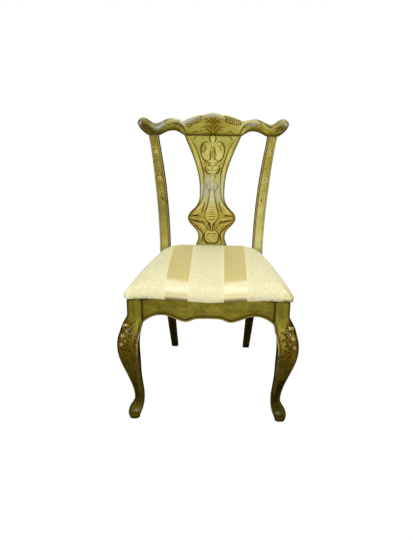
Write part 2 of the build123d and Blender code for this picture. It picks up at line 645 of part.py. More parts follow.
def build():
    """Every piece by name, at its place in the chair."""
    parts = {}

    leg = front_leg()
    post = rear_post()
    crest = crest_rail()
    shoe = splat_shoe()
    legs = both([leg])
    posts = both([post])
    front = front_rail(legs)
    side = side_rail(leg, post)
    rear = rear_rail(posts)

    holes = {name: dowel_pair(*place, grow=FIT, past=BLIND) for name, place in joint_places().items()}
    leg = leg - holes["front_rail_dowels"] - holes["side_rail_front_dowels"]
    post = post - holes["rear_rail_dowels"] - holes["side_rail_rear_dowels"] - holes["crest_dowels"]
    side = side - holes["side_rail_front_dowels"] - holes["side_rail_rear_dowels"]
    front = front - both(holes["front_rail_dowels"])
    rear = rear - both(holes["rear_rail_dowels"])
    crest = crest - both(holes["crest_dowels"]) - crest_tongue(FIT)

    screw_holes = {end: [rail_screw_hole(*line) for line in screw_lines(end)] for end in (False, True)}
    seat_holes = [seat_screw_hole(end) for end in (False, True)]
    front = front - both([screw_holes[False][0]])
    rear = rear - both([screw_holes[True][0]])
    side = side - screw_holes[False][1] - screw_holes[True][1]
    for end, name in ((False, "front"), (True, "rear")):
        brace = corner_block(end, [leg, post])
        brace = brace - screw_holes[end] - seat_holes
        parts[f"corner_block_{name}_right"] = brace
        parts[f"corner_block_{name}_left"] = mirrored(brace)

    foot_x, foot_y = foot_centre()
    post_foot = (post_x(GLIDE_HEIGHT), back_y(GLIDE_HEIGHT))
    for name, place in (("front", (foot_x, foot_y)), ("rear", post_foot)):
        parts[f"foot_glide_{name}_right"] = glide(*place)
        parts[f"foot_glide_{name}_left"] = mirrored(glide(*place))
    leg = leg - glide_hole(foot_x, foot_y)
    post = post - glide_hole(*post_foot)

    parts["front_leg_right"] = leg
    parts["front_leg_left"] = mirrored(leg)
    parts["rear_post_right"] = post
    parts["rear_post_left"] = mirrored(post)
    parts["front_seat_rail"] = front
    parts["side_seat_rail_right"] = side
    parts["side_seat_rail_left"] = mirrored(side)
    parts["rear_seat_rail"] = rear
    parts["crest_rail"] = crest
    parts["back_splat"] = back_splat()
    parts["splat_shoe"] = shoe

    inner = swelling(COVER_THICK)
    cut = both(seat_holes)
    board_top = RAIL_TOP + COVER_THICK + BOARD_THICK
    hole = flat_piece(HEM_TURN, RAIL_TOP - COVER_THICK, RAIL_TOP + 2 * COVER_THICK)
    parts["seat_board"] = (inner & slab(RAIL_TOP, board_top)) - cut
    parts["seat_foam"] = inner & slab(board_top, SWEEP)
    parts["seat_cover"] = swelling() - inner - hole - cut
    parts["dust_cover"] = opening_solid(DUST_GAP, RAIL_TOP - DUST_THICK, RAIL_TOP) - legs - posts - cut

    for name, place in joint_places().items():
        parts[name] = group(both(dowel_pair(*place)))
    screws = [rail_screw(*line) for end in (False, True) for line in screw_lines(end)]
    parts["corner_block_screws"] = group(both(screws))
    parts["seat_screws"] = group(both([seat_screw(end) for end in (False, True)]))
    return parts


def at_origin(parts):
    """Moves the chair so that its origin is under the middle of its box."""
    box = Compound(children=[solid for shape in parts.values() for solid in shape.solids()]).bounding_box()
    shift = Pos(-(box.min.X + box.max.X) / 2, -(box.min.Y + box.max.Y) / 2, -box.min.Z)
    return {name: shift * shape for name, shape in parts.items()}


os.makedirs("parts", exist_ok=True)
for node, shape in at_origin(build()).items():
    export_step(shape, f"parts/{node}.step")
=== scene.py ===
"""Looks of a painted side chair with a carved back and a striped seat.

Metres, +Z up, the front of the chair faces -Y. Each wooden piece is a skin of
points on a grid: rows run along the piece and columns round its section.
Carving is a height that lifts the skin along its normals, and its hollows hold
the brown glaze. It is drawn in millimetres, across from the chair's centre line
and up from the floor, and MM turns a drawing into metres.
"""
import logging
from dataclasses import dataclass, field
from enum import Enum

import bpy
import numpy as np
from mathutils import Matrix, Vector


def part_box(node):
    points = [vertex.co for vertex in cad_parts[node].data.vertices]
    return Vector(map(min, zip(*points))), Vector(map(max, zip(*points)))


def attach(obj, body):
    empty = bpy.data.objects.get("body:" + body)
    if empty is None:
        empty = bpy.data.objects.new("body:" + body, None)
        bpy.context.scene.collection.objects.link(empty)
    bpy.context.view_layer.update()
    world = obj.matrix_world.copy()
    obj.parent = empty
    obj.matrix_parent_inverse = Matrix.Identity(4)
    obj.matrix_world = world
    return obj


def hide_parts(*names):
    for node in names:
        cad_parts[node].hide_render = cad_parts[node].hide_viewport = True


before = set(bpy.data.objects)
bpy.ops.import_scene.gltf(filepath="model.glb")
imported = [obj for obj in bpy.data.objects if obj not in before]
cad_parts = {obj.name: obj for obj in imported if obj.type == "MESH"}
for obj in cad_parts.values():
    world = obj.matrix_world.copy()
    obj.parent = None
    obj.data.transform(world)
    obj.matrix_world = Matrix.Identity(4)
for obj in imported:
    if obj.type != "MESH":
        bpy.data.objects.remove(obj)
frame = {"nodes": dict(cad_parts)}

MM = 0.001
TURN = 2 * np.pi
PATH_POINTS = 33
TAPER = 0.3
RIPPLE = 0.17
PAINT = "antiqued_green_paint"
CLOTH = "striped_damask"
LOG = logging.getLogger("side_chair")
Array = np.ndarray
Marks = dict[str, Array]
Pair = tuple[float, float]
Triple = tuple[float, float, float]
Path = tuple[tuple[float, ...], ...]
Socket = bpy.types.NodeSocket
Material = bpy.types.Material
Thing = bpy.types.Object


# ---- curves and fields ----------------------------------------------------
def ease(share: Array) -> Array:
    """Smooth step of a share held between 0 and 1: three of its square less two of its cube."""
    held = np.clip(share, 0.0, 1.0)
    return held * held * (3.0 - 2.0 * held)


def bell(value: Array, middle: float, width: float) -> Array:
    """Bell curve: e to the minus square of the distance from the middle over the width."""
    return np.exp(-(((value - middle) / width) ** 2))


def spline(stations: Array, at: Array) -> Array:
    """Natural cubic spline: in each span a cubic whose bend runs evenly from end to end.

    Args:
        stations: Rows of a place and one or more values there.
        at: Places where the curve is wanted, of any shape.

    Returns:
        The values, with one more axis where the stations hold several.
    """
    table = np.asarray(stations, float)
    place, value = table[:, 0], table[:, 1:]
    gap = np.diff(place)
    count = len(place)
    system, right = np.eye(count), np.zeros_like(value)
    inner = np.arange(1, count - 1)
    system[inner, inner - 1] = gap[:-1]
    system[inner, inner] = 2.0 * (gap[:-1] + gap[1:])
    system[inner, inner + 1] = gap[1:]
    right[1:-1] = 6.0 * np.diff(np.diff(value, axis=0) / gap[:, None], axis=0)
    bend = np.linalg.solve(system, right)
    at = np.clip(np.asarray(at, float), place[0], place[-1])
    span = np.clip(np.searchsorted(place, at) - 1, 0, count - 2)
    after = ((at - place[span]) / gap[span])[..., None]
    before = 1.0 - after
    lift = (before**3 - before) * bend[span] + (after**3 - after) * bend[span + 1]
    curve = before * value[span] + after * value[span + 1] + lift * (gap[span] ** 2)[..., None] / 6.0
    return curve[..., 0] if value.shape[1] == 1 else curve


def mirrored_rows(stations: Array) -> Array:
    """Stations on both sides of a first one at zero."""
    rows = np.asarray(stations, float)
    other = rows[:0:-1].copy()
    other[:, 0] *= -1
    return np.concatenate([other, rows])


def smoothed_path(path: Path, count: int) -> Array:
    """Spline of count points through a drawn path, walked by the length between its points."""
    points = np.asarray(path, float)
    walked = np.concatenate([[0.0], np.cumsum(np.linalg.norm(np.diff(points, axis=0), axis=1))])
    return spline(np.column_stack([walked, points]), np.linspace(0.0, walked[-1], count))


def blurred(height: Array, reach: int, around: bool) -> Array:
    """Mean of the neighbours within reach, taken three times each way, which nears a bell blur.

    Args:
        height: Rows by columns.
        reach: Cells to each side.
        around: Whether the last column joins the first.

    Returns:
        The blurred height.
    """
    wide = 2 * reach + 1
    for mode in ("edge", "wrap" if around else "edge") * 3:
        total = np.cumsum(np.pad(height, ((reach + 1, reach), (0, 0)), mode=mode), axis=0)
        height = ((total[wide:] - total[:-wide]) / wide).T
    return height


def hollow(height: Array, reach: int, depth: float) -> Array:
    """How far each point lies under the blurred height of its neighbours, as a share of a depth."""
    return np.clip((blurred(height, reach, True) - height) / depth, 0.0, 1.0)


def unit(vectors: Array) -> Array:
    """Vectors along the last axis, brought to length one."""
    return vectors / np.maximum(np.linalg.norm(vectors, axis=-1, keepdims=True), 1e-12)


def marked(tone: Array, glaze: Array, rub: Array, warmth: Array, gloss: Array) -> Marks:
    """Marks of the paint at each point of a skin.

    Args:
        tone: How light the paint is, with painted light and shade in it on some pieces.
        glaze: How much dark glaze lies there.
        rub: How worn an edge is.
        warmth: How much ochre.
        gloss: How much it shines, and how much painted highlight of pale silver is mixed into the colour.

    Returns:
        The marks by name, all of one shape, with glaze and gloss held between 0 and 1.
    """
    fields = np.broadcast_arrays(tone, np.clip(glaze, 0, 1), rub, warmth, np.clip(gloss, 0, 1))
    return dict(zip(("tone", "glaze", "rub", "warmth", "gloss"), fields))


# ---- skins ----------------------------------------------------------------
@dataclass
class Skin:
    """A closed sheet of points: rows run along the piece, columns round it."""

    points: Array
    marks: Marks = field(default_factory=dict)

    def normals(self) -> Array:
        """Unit normals: cross product of the differences along rows and columns, pointing out."""
        across = (np.roll(self.points, -1, axis=1) - np.roll(self.points, 1, axis=1)) / 2.0
        normal = unit(np.cross(across, np.gradient(self.points, axis=0)))
        return normal * self.outward(normal)

    def outward(self, normal: Array) -> float:
        """1 where the normals already point away from the middle of their rows, or -1."""
        away = self.points - self.points.mean(axis=1, keepdims=True)
        return 1.0 if float((normal * away).sum()) >= 0.0 else -1.0

    def lifted(self, height: Array) -> "Skin":
        """The skin raised along its normals by a height in metres at each point."""
        return Skin(self.points + self.normals() * height[..., None], dict(self.marks))

    def mirrored(self) -> "Skin":
        """The same skin for the other side of the chair."""
        return Skin(self.points * np.array([-1.0, 1.0, 1.0]), dict(self.marks))

    def sample(self, row: Array, column: Array) -> Array:
        """Points between the grid's own, weighted by nearness along rows and columns.

        Args:
            row: Places along the piece, in rows.
            column: Places round it, in columns.

        Returns:
            The points.
        """
        grid = self.points
        rows, columns = grid.shape[:2]
        row = np.clip(row, 0.0, rows - 1.001)
        low, left = row.astype(int), np.floor(column).astype(int)
        up, over = (row - low)[..., None], (column - left)[..., None]
        left, right = left % columns, (left + 1) % columns
        lower = grid[low, left] * (1 - over) + grid[low, right] * over
        upper = grid[low + 1, left] * (1 - over) + grid[low + 1, right] * over
        return lower * (1 - up) + upper * up

    def faces(self) -> tuple[Array, Array]:
        """Corner numbers of the four-sided faces and of the three-sided ones of the two ends."""
        rows, columns = self.points.shape[:2]
        column = np.arange(columns)
        following = (column + 1) % columns
        row = np.arange(rows - 1)[:, None] * columns
        near, far = row + column, row + following
        quads = np.stack([near, far, far + columns, near + columns], axis=-1)
        centre, last = np.full(columns, rows * columns), (rows - 1) * columns
        bottom = np.stack([following, column, centre], axis=-1)
        top = np.stack([last + column, last + following, centre + 1], axis=-1)
        return quads.reshape(-1, 4), np.concatenate([bottom, top])

    def to_object(
        self, name: str, material: Material, node: str = "", crisp: float = 0.7, slot: str = PAINT
    ) -> Thing:
        """Makes the Blender object of the skin, with its marks as point attributes.

        Args:
            name: Name of the piece.
            material: Its finish.
            node: Solid that it replaces.
            crisp: Edges sharper than this, in radians, stay crisp.
            slot: Not used.

        Returns:
            The object, riding on the chair.
        """
        ends = self.points[[0, -1]].mean(axis=1)
        marks = {key: np.append(value, value[[0, -1]].mean(axis=1)) for key, value in self.marks.items()}
        quads, caps = self.faces()
        along, across = np.gradient(self.points, axis=0), np.roll(self.points, -1, axis=1) - self.points
        if self.outward(np.cross(across, along)) < 0.0:
            quads, caps = quads[:, ::-1], caps[:, ::-1]
        corners = np.concatenate([self.points.reshape(-1, 3), ends])
        thing = made(name, corners, [quads, caps], marks, material, crisp)
        if node:
            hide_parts(node)
        return thing


def made(name: str, corners: Array, faces: list[Array], marks: Marks, material: Material, crisp: float) -> Thing:
    """Makes a mesh object from whole arrays and lets it ride on the chair.

    Args:
        name: Name of the piece.
        corners: Points, in metres.
        faces: Arrays of corner numbers, one array for each number of sides.
        marks: Values kept at the points, by name.
        material: Finish of the piece.
        crisp: Edges sharper than this, in radians, stay crisp.

    Returns:
        The object.
    """
    mesh = bpy.data.meshes.new(name)
    mesh.vertices.add(len(corners))
    mesh.vertices.foreach_set("co", np.ascontiguousarray(corners, np.float32).ravel())
    loops = np.concatenate([group.ravel() for group in faces]).astype(np.int32)
    sides = np.concatenate([np.full(len(group), group.shape[1]) for group in faces])
    mesh.loops.add(len(loops))
    mesh.loops.foreach_set("vertex_index", loops)
    mesh.polygons.add(len(sides))
    mesh.polygons.foreach_set("loop_start", (np.cumsum(sides) - sides).astype(np.int32))
    mesh.update(calc_edges=True)
    mesh.validate()
    for key, value in marks.items():
        layer = mesh.attributes.new(key, "FLOAT", "POINT")
        layer.data.foreach_set("value", np.ascontiguousarray(value, np.float32))
    mesh.polygons.foreach_set("use_smooth", np.ones(len(mesh.polygons), bool))
    mesh.set_sharp_from_angle(angle=crisp)
    mesh.materials.append(material)
    thing = bpy.data.objects.new(name, mesh)
    bpy.context.scene.collection.objects.link(thing)
    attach(thing, "root")
    LOG.info("%s: %d points, %d faces", name, len(corners), len(sides))
    return thing


def rounded_section(half_wide: Array, half_deep: Array, radius: Array, side: int, corner: int) -> Array:
    """Points round rectangles with round corners, beginning on the front at its left end.

    A side is walked evenly from one corner's arc to the next, and an arc is the
    corner's centre plus the radius turned through a quarter.

    Args:
        half_wide: Half widths, one for each row.
        half_deep: Half depths.
        radius: Corner radii.
        side: Points on each side.
        corner: Points on each arc.

    Returns:
        Rows by columns by two: across, and back.
    """
    round_ = np.asarray(radius, float)[:, None, None]
    inner = np.stack([half_wide, half_deep], axis=-1)[:, None, :] - round_
    signs = np.array([(-1, -1), (1, -1), (1, 1), (-1, 1)])
    pieces = []
    for number in range(4):
        start, end = signs[number] * inner, signs[(number + 1) % 4] * inner
        angle = (number - 1 + np.arange(corner) / corner) * np.pi / 2
        arc = round_ * np.stack([np.cos(angle), np.sin(angle)], axis=-1)
        pieces += [start + arc[:, :1] + (end - start) * (np.arange(side) / side)[:, None], end + arc]
    return np.concatenate(pieces, axis=1)


def round_distance(section: Array, column: float) -> Array:
    """Distance walked round each section from a column, in metres, negative before it.

    Args:
        section: Points of the sections, rows by columns by two.
        column: The column to measure from; it may lie between two.

    Returns:
        Distances, rows by columns, within half a turn to each side.
    """
    step = np.linalg.norm(np.roll(section, -1, axis=1) - section, axis=2)
    walked = np.concatenate([np.zeros_like(step[:, :1]), np.cumsum(step, axis=1)], axis=1)
    total, low = walked[:, -1:], int(column)
    start = walked[:, low] * (1 - (column - low)) + walked[:, low + 1] * (column - low)
    return (walked[:, :-1] - start[:, None] + total / 2) % total - total / 2


# ---- carving --------------------------------------------------------------
class Form(Enum):
    """How a stroke of the carver's gouge stands in section."""

    BEAD = "bead"
    GROOVE = "groove"
    LEAF = "leaf"


@dataclass(frozen=True)
class Stroke:
    """One stroke of carving along a drawn path, in millimetres.

    start and end are shares of the width there, lobes counts its ripples, twin
    repeats it on the other side and ink is the dark glaze left in it.
    """

    path: Path
    width: float
    height: float
    form: Form = Form.GROOVE
    start: float = 0.2
    end: float = 0.2
    lobes: float = 0.0
    twin: bool = True
    ink: float = 0.0

    def heights(self, across: Array, up: Array) -> tuple[Array, Array]:
        """Height of the stroke over flat wood, and its glaze.

        With q the distance from the path over the half width, a bead is the
        height times the root of one less q squared, a groove is the depth times
        half of one plus the cosine of pi q, and a leaf is a dome with a hollow
        rib and slanting ripples.

        Args:
            across: Distance of each point from the centre line, in millimetres.
            up: Its height over the floor.

        Returns:
            Heights in millimetres and shares of glaze, zero away from the stroke.
        """
        x = np.abs(across) if self.twin else across
        points = smoothed_path(self.path, PATH_POINTS)
        low, high = points.min(0) - self.width * 1.3, points.max(0) + self.width * 1.3
        near = (x > low[0]) & (x < high[0]) & (up > low[1]) & (up < high[1])
        result, glaze = np.zeros_like(up), np.zeros_like(up)
        if not near.any():
            return result, glaze
        place = np.stack([x[near], up[near]], axis=-1)[:, None, :]
        start, run = points[:-1], np.diff(points, axis=0)
        share = np.clip(((place - start) * run).sum(-1) / (run**2).sum(-1), 0.0, 1.0)
        gap = np.linalg.norm(place - start - share[..., None] * run, axis=-1)
        nearest = gap.argmin(axis=1)
        rows = np.arange(len(nearest))
        walked = (nearest + share[rows, nearest]) / len(run)
        rise = self.start + (1 - self.start) * ease(walked / TAPER)
        fall = self.end + (1 - self.end) * ease((1 - walked) / TAPER)
        ripple = RIPPLE * np.cos(TURN * self.lobes * walked) * (self.lobes > 0)
        width = self.width * rise * fall * (1 + ripple)
        q = np.clip(gap[rows, nearest] / width, 0.0, 1.0)
        groove = (1 + np.cos(np.pi * q)) / 2
        if self.form is Form.BEAD:
            shape = np.sqrt(1 - q**2)
        elif self.form is Form.GROOVE:
            shape = groove
        else:
            shape = (1 - q**2) ** 0.6 * (1 - 0.5 * bell(q, 0.0, 0.2))
            shape = shape * (1 + 0.22 * np.cos(TURN * (self.lobes * walked - 0.9 * q)) * (self.lobes > 0))
        result[near] = self.height * np.sqrt(rise * fall) * shape
        glaze[near] = self.ink * np.sqrt(rise * fall) * groove
        return result, glaze


@dataclass(frozen=True)
class Boss:
    """A raised oval, domed or flat-topped, in millimetres."""

    centre: Pair
    half: Pair
    height: float
    tilt: float = 0.0
    fullness: float = 0.5

    def heights(self, across: Array, up: Array) -> tuple[Array, Array]:
        """Height of the oval: a power of one less the squared distance over its half size.

        Args:
            across: Distance of each point from the centre line, in millimetres.
            up: Its height over the floor.

        Returns:
            Heights in millimetres, and no glaze.
        """
        x, z, lean = np.abs(across) - self.centre[0], up - self.centre[1], np.radians(self.tilt)
        turned_x, turned_z = x * np.cos(lean) + z * np.sin(lean), z * np.cos(lean) - x * np.sin(lean)
        q = np.hypot(turned_x / self.half[0], turned_z / self.half[1])
        return self.height * np.clip(1 - q**2, 0.0, 1.0) ** self.fullness, np.zeros_like(up)


@dataclass(frozen=True)
class Husk:
    """A raised pod about the centre line: height over the floor and half width, in millimetres."""

    profile: Path
    height: float

    def heights(self, across: Array, up: Array) -> tuple[Array, Array]:
        """Half round over its width: the height times the root of one less the squared share.

        Args:
            across: Distance of each point from the centre line, in millimetres.
            up: Its height over the floor.

        Returns:
            Heights in millimetres, and a little glaze along its edge.
        """
        half = spline(self.profile, up)
        q = np.abs(across) / half
        inside = ((up >= self.profile[0][0]) & (up <= self.profile[-1][0])).astype(float)
        tall = self.height * np.clip(half / 9.0, 0.35, 1.0)
        return inside * tall * np.sqrt(np.clip(1 - q**2, 0.0, 1.0)), inside * 0.35 * bell(q, 1.0, 1.6 / half)


Carving = tuple[Stroke | Boss | Husk, ...]
Table = tuple[tuple[Path, float, float, float], ...]


def gouged(table: Table, wider: float, deeper: float, end: float, darker: float) -> list[Stroke]:
    """Gouge cuts of a table, in which all widths, depths and glazes have a common gain.

    Args:
        table: Path, width, depth and glaze of each cut.
        wider: Gain of the widths.
        deeper: Gain of the depths.
        end: Share of the width at both ends.
        darker: Gain of the glaze.

    Returns:
        The cuts.
    """
    return [
        Stroke(path, wider * width, -deeper * depth, start=end, end=end, ink=darker * ink)
        for path, width, depth, ink in table
    ]


def carve(cuts: Carving, across: Array, up: Array) -> tuple[Array, Array]:
    """A whole carving: its highest raised forms plus its deepest cuts, and its strongest glaze.

    Args:
        cuts: Strokes, bosses and husks.
        across: Distance of each point from the centre line, in metres.
        up: Its height over the floor, in metres.

    Returns:
        Heights in metres and shares of glaze.
    """
    raised, sunk, ink = (np.zeros_like(up) for _ in range(3))
    for cut in cuts:
        height, glaze = cut.heights(across / MM, up / MM)
        raised, sunk, ink = np.maximum(raised, height), np.minimum(sunk, height), np.maximum(ink, glaze)
    return (raised + sunk) * MM, ink


def halo(ink: Array, reach: int = 5) -> Array:
    """Brown that has crept out round the glaze of the cuts: the glaze blurred and lifted."""
    return np.clip(2.0 * blurred(ink, reach, False), 0.0, 1.0)


# ---- finishes -------------------------------------------------------------
class Graph:
    """Lays out the nodes of one material, or of the world."""

    def __init__(self, name: str, owner: bpy.types.ID | None = None) -> None:
        """Opens the nodes of a new material or of the owner given."""
        self.owner = owner or bpy.data.materials.new(name)
        self.owner.use_nodes = True
        self.nodes, self.links = self.owner.node_tree.nodes, self.owner.node_tree.links
        self.shader = next(node for node in self.nodes if node.type in ("BSDF_PRINCIPLED", "BACKGROUND"))

    def feed(self, socket: Socket, value: object) -> None:
        """Links a socket to another, or sets a number or colour on it."""
        if isinstance(value, Socket):
            self.links.new(value, socket)
        elif isinstance(value, tuple) and len(value) == 3 and socket.type == "RGBA":
            socket.default_value = (*value, 1.0)
        else:
            socket.default_value = value

    def add(self, kind: str, settings: dict[str, object] | None = None, *values: object,
            **inputs: object) -> bpy.types.Node:
        """Adds a node.

        Args:
            kind: Its type's name after ShaderNode.
            settings: Properties of the node.
            *values: Sockets in their order.
            **inputs: Sockets by name, with spaces as underscores.

        Returns:
            The node.
        """
        node = self.nodes.new("ShaderNode" + kind)
        for key, value in (settings or {}).items():
            setattr(node, key, value)
        for socket, value in zip(node.inputs, values):
            self.feed(socket, value)
        for key, value in inputs.items():
            self.feed(node.inputs[key.replace("_", " ")], value)
        return node

    def place(self, kind: str = "Object") -> Socket:
        """Coordinates of the piece, of a named kind."""
        return self.add("TexCoord").outputs[kind]

    def stretched(self, scale: Triple) -> Socket:
        """Coordinates scaled by three factors."""
        return self.add("Mapping", Vector=self.place(), Scale=scale).outputs[0]

    def mark(self, name: str) -> Socket:
        """Value kept at the points under a name."""
        return self.add("Attribute", {"attribute_name": name}).outputs["Fac"]

    def noise(self, scale: float, detail: float = 3.0, rough: float = 0.55, vector: object = None) -> Socket:
        """Soft noise between 0 and 1."""
        vector = vector or self.place()
        return self.add("TexNoise", Scale=scale, Detail=detail, Roughness=rough, Vector=vector).outputs["Fac"]

    def math(self, kind: str, *values: object, clamp: bool = False) -> Socket:
        """Arithmetic on one value or more."""
        return self.add("Math", {"operation": kind, "use_clamp": clamp}, *values).outputs[0]

    def scaled(self, value: object, gain: float, shift: float = 0.0, clamp: bool = False) -> Socket:
        """A value times a gain plus a shift."""
        return self.math("MULTIPLY_ADD", value, gain, shift, clamp=clamp)

    def band(self, value: object, low: float, high: float) -> Socket:
        """Smooth step of a value from 0 at low to 1 at high."""
        return self.add("MapRange", {"interpolation_type": "SMOOTHSTEP"}, value, low, high).outputs[0]

    def ramp(self, value: object, stops: tuple[tuple[float, Triple], ...]) -> Socket:
        """Colour from a value through evenly blended stops."""
        node = self.add("ValToRGB", Fac=value)
        marks = node.color_ramp.elements
        while len(marks) < len(stops):
            marks.new(0.5)
        for mark, (place, colour) in zip(marks, stops):
            mark.position, mark.color = place, (*colour, 1.0)
        return node.outputs["Color"]

    def blend(self, share: object, first: object, second: object) -> Socket:
        """Mixes two colours by a share."""
        node = self.add("Mix", {"data_type": "RGBA"}, share)
        self.feed(node.inputs[6], first)
        self.feed(node.inputs[7], second)
        return node.outputs[2]

    def bumped(
        self, height: Socket, distance: float, strength: float = 1.0, below: Socket | None = None
    ) -> Socket:
        """Normal tilted by a height, over another bump where one is given."""
        under = {"Normal": below} if below else {}
        node = self.add("Bump", Height=height, Distance=distance, Strength=strength, **under)
        return node.outputs["Normal"]

    def finish(self, **inputs: object) -> Material:
        """Feeds the shader's sockets and returns the material."""
        for key, value in inputs.items():
            self.feed(self.shader.inputs[key.replace("_", " ")], value)
        return self.owner


@dataclass(frozen=True)
class AntiquedPaint:
    """Olive paint under a brown glaze, rubbed through at the edges.

    Marks at the points: tone is how light the paint is, with painted light and
    shade in it on some pieces; glaze how much dark glaze lies there, warmth how
    much ochre, rub how worn an edge is and gloss how much it shines and how much
    painted highlight of pale silver is mixed into its colour.
    """

    name: str = "antiqued_green_paint"
    brush: Triple = (70.0, 70.0, 9.0)
    tones: tuple[tuple[float, Triple], ...] = (
        (0.00, (0.0040, 0.0030, 0.0010)),
        (0.15, (0.0200, 0.0150, 0.0025)),
        (0.30, (0.0700, 0.0580, 0.0060)),
        (0.45, (0.1620, 0.1400, 0.0170)),
        (0.62, (0.2750, 0.2500, 0.0460)),
        (0.82, (0.4100, 0.3880, 0.1050)),
        (1.00, (0.5600, 0.5400, 0.2400)),
    )
    glaze: Triple = (0.033, 0.023, 0.002)
    ochre: Triple = (0.310, 0.210, 0.016)
    umber: Triple = (0.115, 0.078, 0.004)
    bare: Triple = (0.520, 0.430, 0.170)
    soot: Triple = (0.014, 0.009, 0.003)
    # painted highlight: pale silver mixed into the colour where the paint is marked to shine
    painted_highlight: Triple = (0.330, 0.360, 0.320)

    def material(self) -> Material:
        """Builds the paint: tone ramp, ochre wash, glaze, worn edges, specks, brush marks and a painted
        highlight of pale silver.
        """
        graph = Graph(self.name)
        cloud = graph.noise(13.0, 5.0, 0.7)
        streak = graph.noise(1.0, 4.0, 0.65, graph.stretched(self.brush))
        grit = graph.noise(230.0, 3.0, 0.75)
        tone = graph.math("ADD", graph.mark("tone"), graph.scaled(cloud, 0.62, -0.31))
        tone = graph.math("ADD", tone, graph.scaled(streak, 0.26, -0.13))
        tone = graph.math("ADD", tone, graph.scaled(grit, 0.20, -0.10), clamp=True)
        colour = graph.ramp(tone, self.tones)
        patch = graph.noise(34.0, 4.0, 0.65)
        wash = graph.math("MULTIPLY", graph.mark("warmth"), graph.scaled(patch, 1.5, 0.10), clamp=True)
        colour = graph.blend(graph.scaled(wash, 0.85), colour, self.washed(graph, tone))
        pooled = graph.math("MULTIPLY", graph.mark("glaze"), graph.scaled(patch, 0.9, 0.60), clamp=True)
        colour = graph.blend(graph.band(pooled, 0.02, 0.55), colour, graph.blend(0.70, colour, self.umber))
        colour = graph.blend(graph.band(pooled, 0.30, 0.90), colour, self.glaze)
        worn = graph.math("MULTIPLY", graph.mark("rub"), graph.band(graph.noise(60.0, 4.0, 0.7), 0.30, 0.55))
        colour = graph.blend(graph.scaled(worn, 0.8), colour, self.bare)
        fleck = graph.add("TexVoronoi", Scale=90.0, Vector=graph.place()).outputs["Distance"]
        sparse = graph.band(graph.noise(19.0, 2.0, 0.5), 0.50, 0.62)
        speck = graph.math("MULTIPLY", graph.band(fleck, 0.20, 0.10), sparse)
        colour = graph.blend(graph.scaled(speck, 0.85), colour, self.soot)
        rough = graph.math("ADD", graph.scaled(patch, 0.16, 0.20), graph.scaled(graph.mark("glaze"), 0.2))
        shine_and_painted_sheen = graph.math("MULTIPLY", graph.mark("gloss"), graph.scaled(patch, 1.6, 0.05))
        # painted highlight: pale silver laid on the colour where the shine is high, standing for reflections of
        # the lamps
        colour = graph.blend(graph.scaled(shine_and_painted_sheen, 1.1, -0.12, clamp=True), colour, self.painted_highlight)
        normal = graph.bumped(streak, 0.0008, 0.45)
        normal = graph.bumped(grit, 0.0003, 0.5, normal)
        return graph.finish(
            Base_Color=colour, Roughness=rough, Normal=normal,
            Specular_IOR_Level=graph.scaled(shine_and_painted_sheen, 0.75, -0.04, clamp=True),
            Coat_Weight=graph.scaled(shine_and_painted_sheen, 0.55, -0.14, clamp=True), Coat_Roughness=0.25,
        )

    def washed(self, graph: Graph, tone: Socket) -> Socket:
        """Ochre under the glaze, as dark as the paint round it."""
        return graph.ramp(tone, ((0.0, (0.006, 0.004, 0.001)), (0.35, self.umber), (0.70, self.ochre),
                                 (1.0, (0.58, 0.45, 0.09))))


@dataclass(frozen=True)
class FlowerPaint:
    """Thick hand-laid paint of the flowers; its colour is kept at the points in three marks."""

    name: str = "painted_flowers"

    def material(self) -> Material:
        """Builds the colour from the marks, dirtied by a little glaze."""
        graph = Graph(self.name)
        hue = graph.add("CombineColor", None, *(graph.mark(name) for name in ("red", "green", "blue")))
        dirt_and_painted_shade = graph.band(graph.noise(150.0, 3.0, 0.6), 0.52, 0.75)
        colour = graph.blend(graph.scaled(dirt_and_painted_shade, 0.45), hue.outputs[0], (0.10, 0.06, 0.012))
        normal = graph.bumped(graph.noise(320.0, 2.0, 0.6), 0.0002, 0.5)
        return graph.finish(Base_Color=colour, Roughness=0.6, Normal=normal, Specular_IOR_Level=0.0)


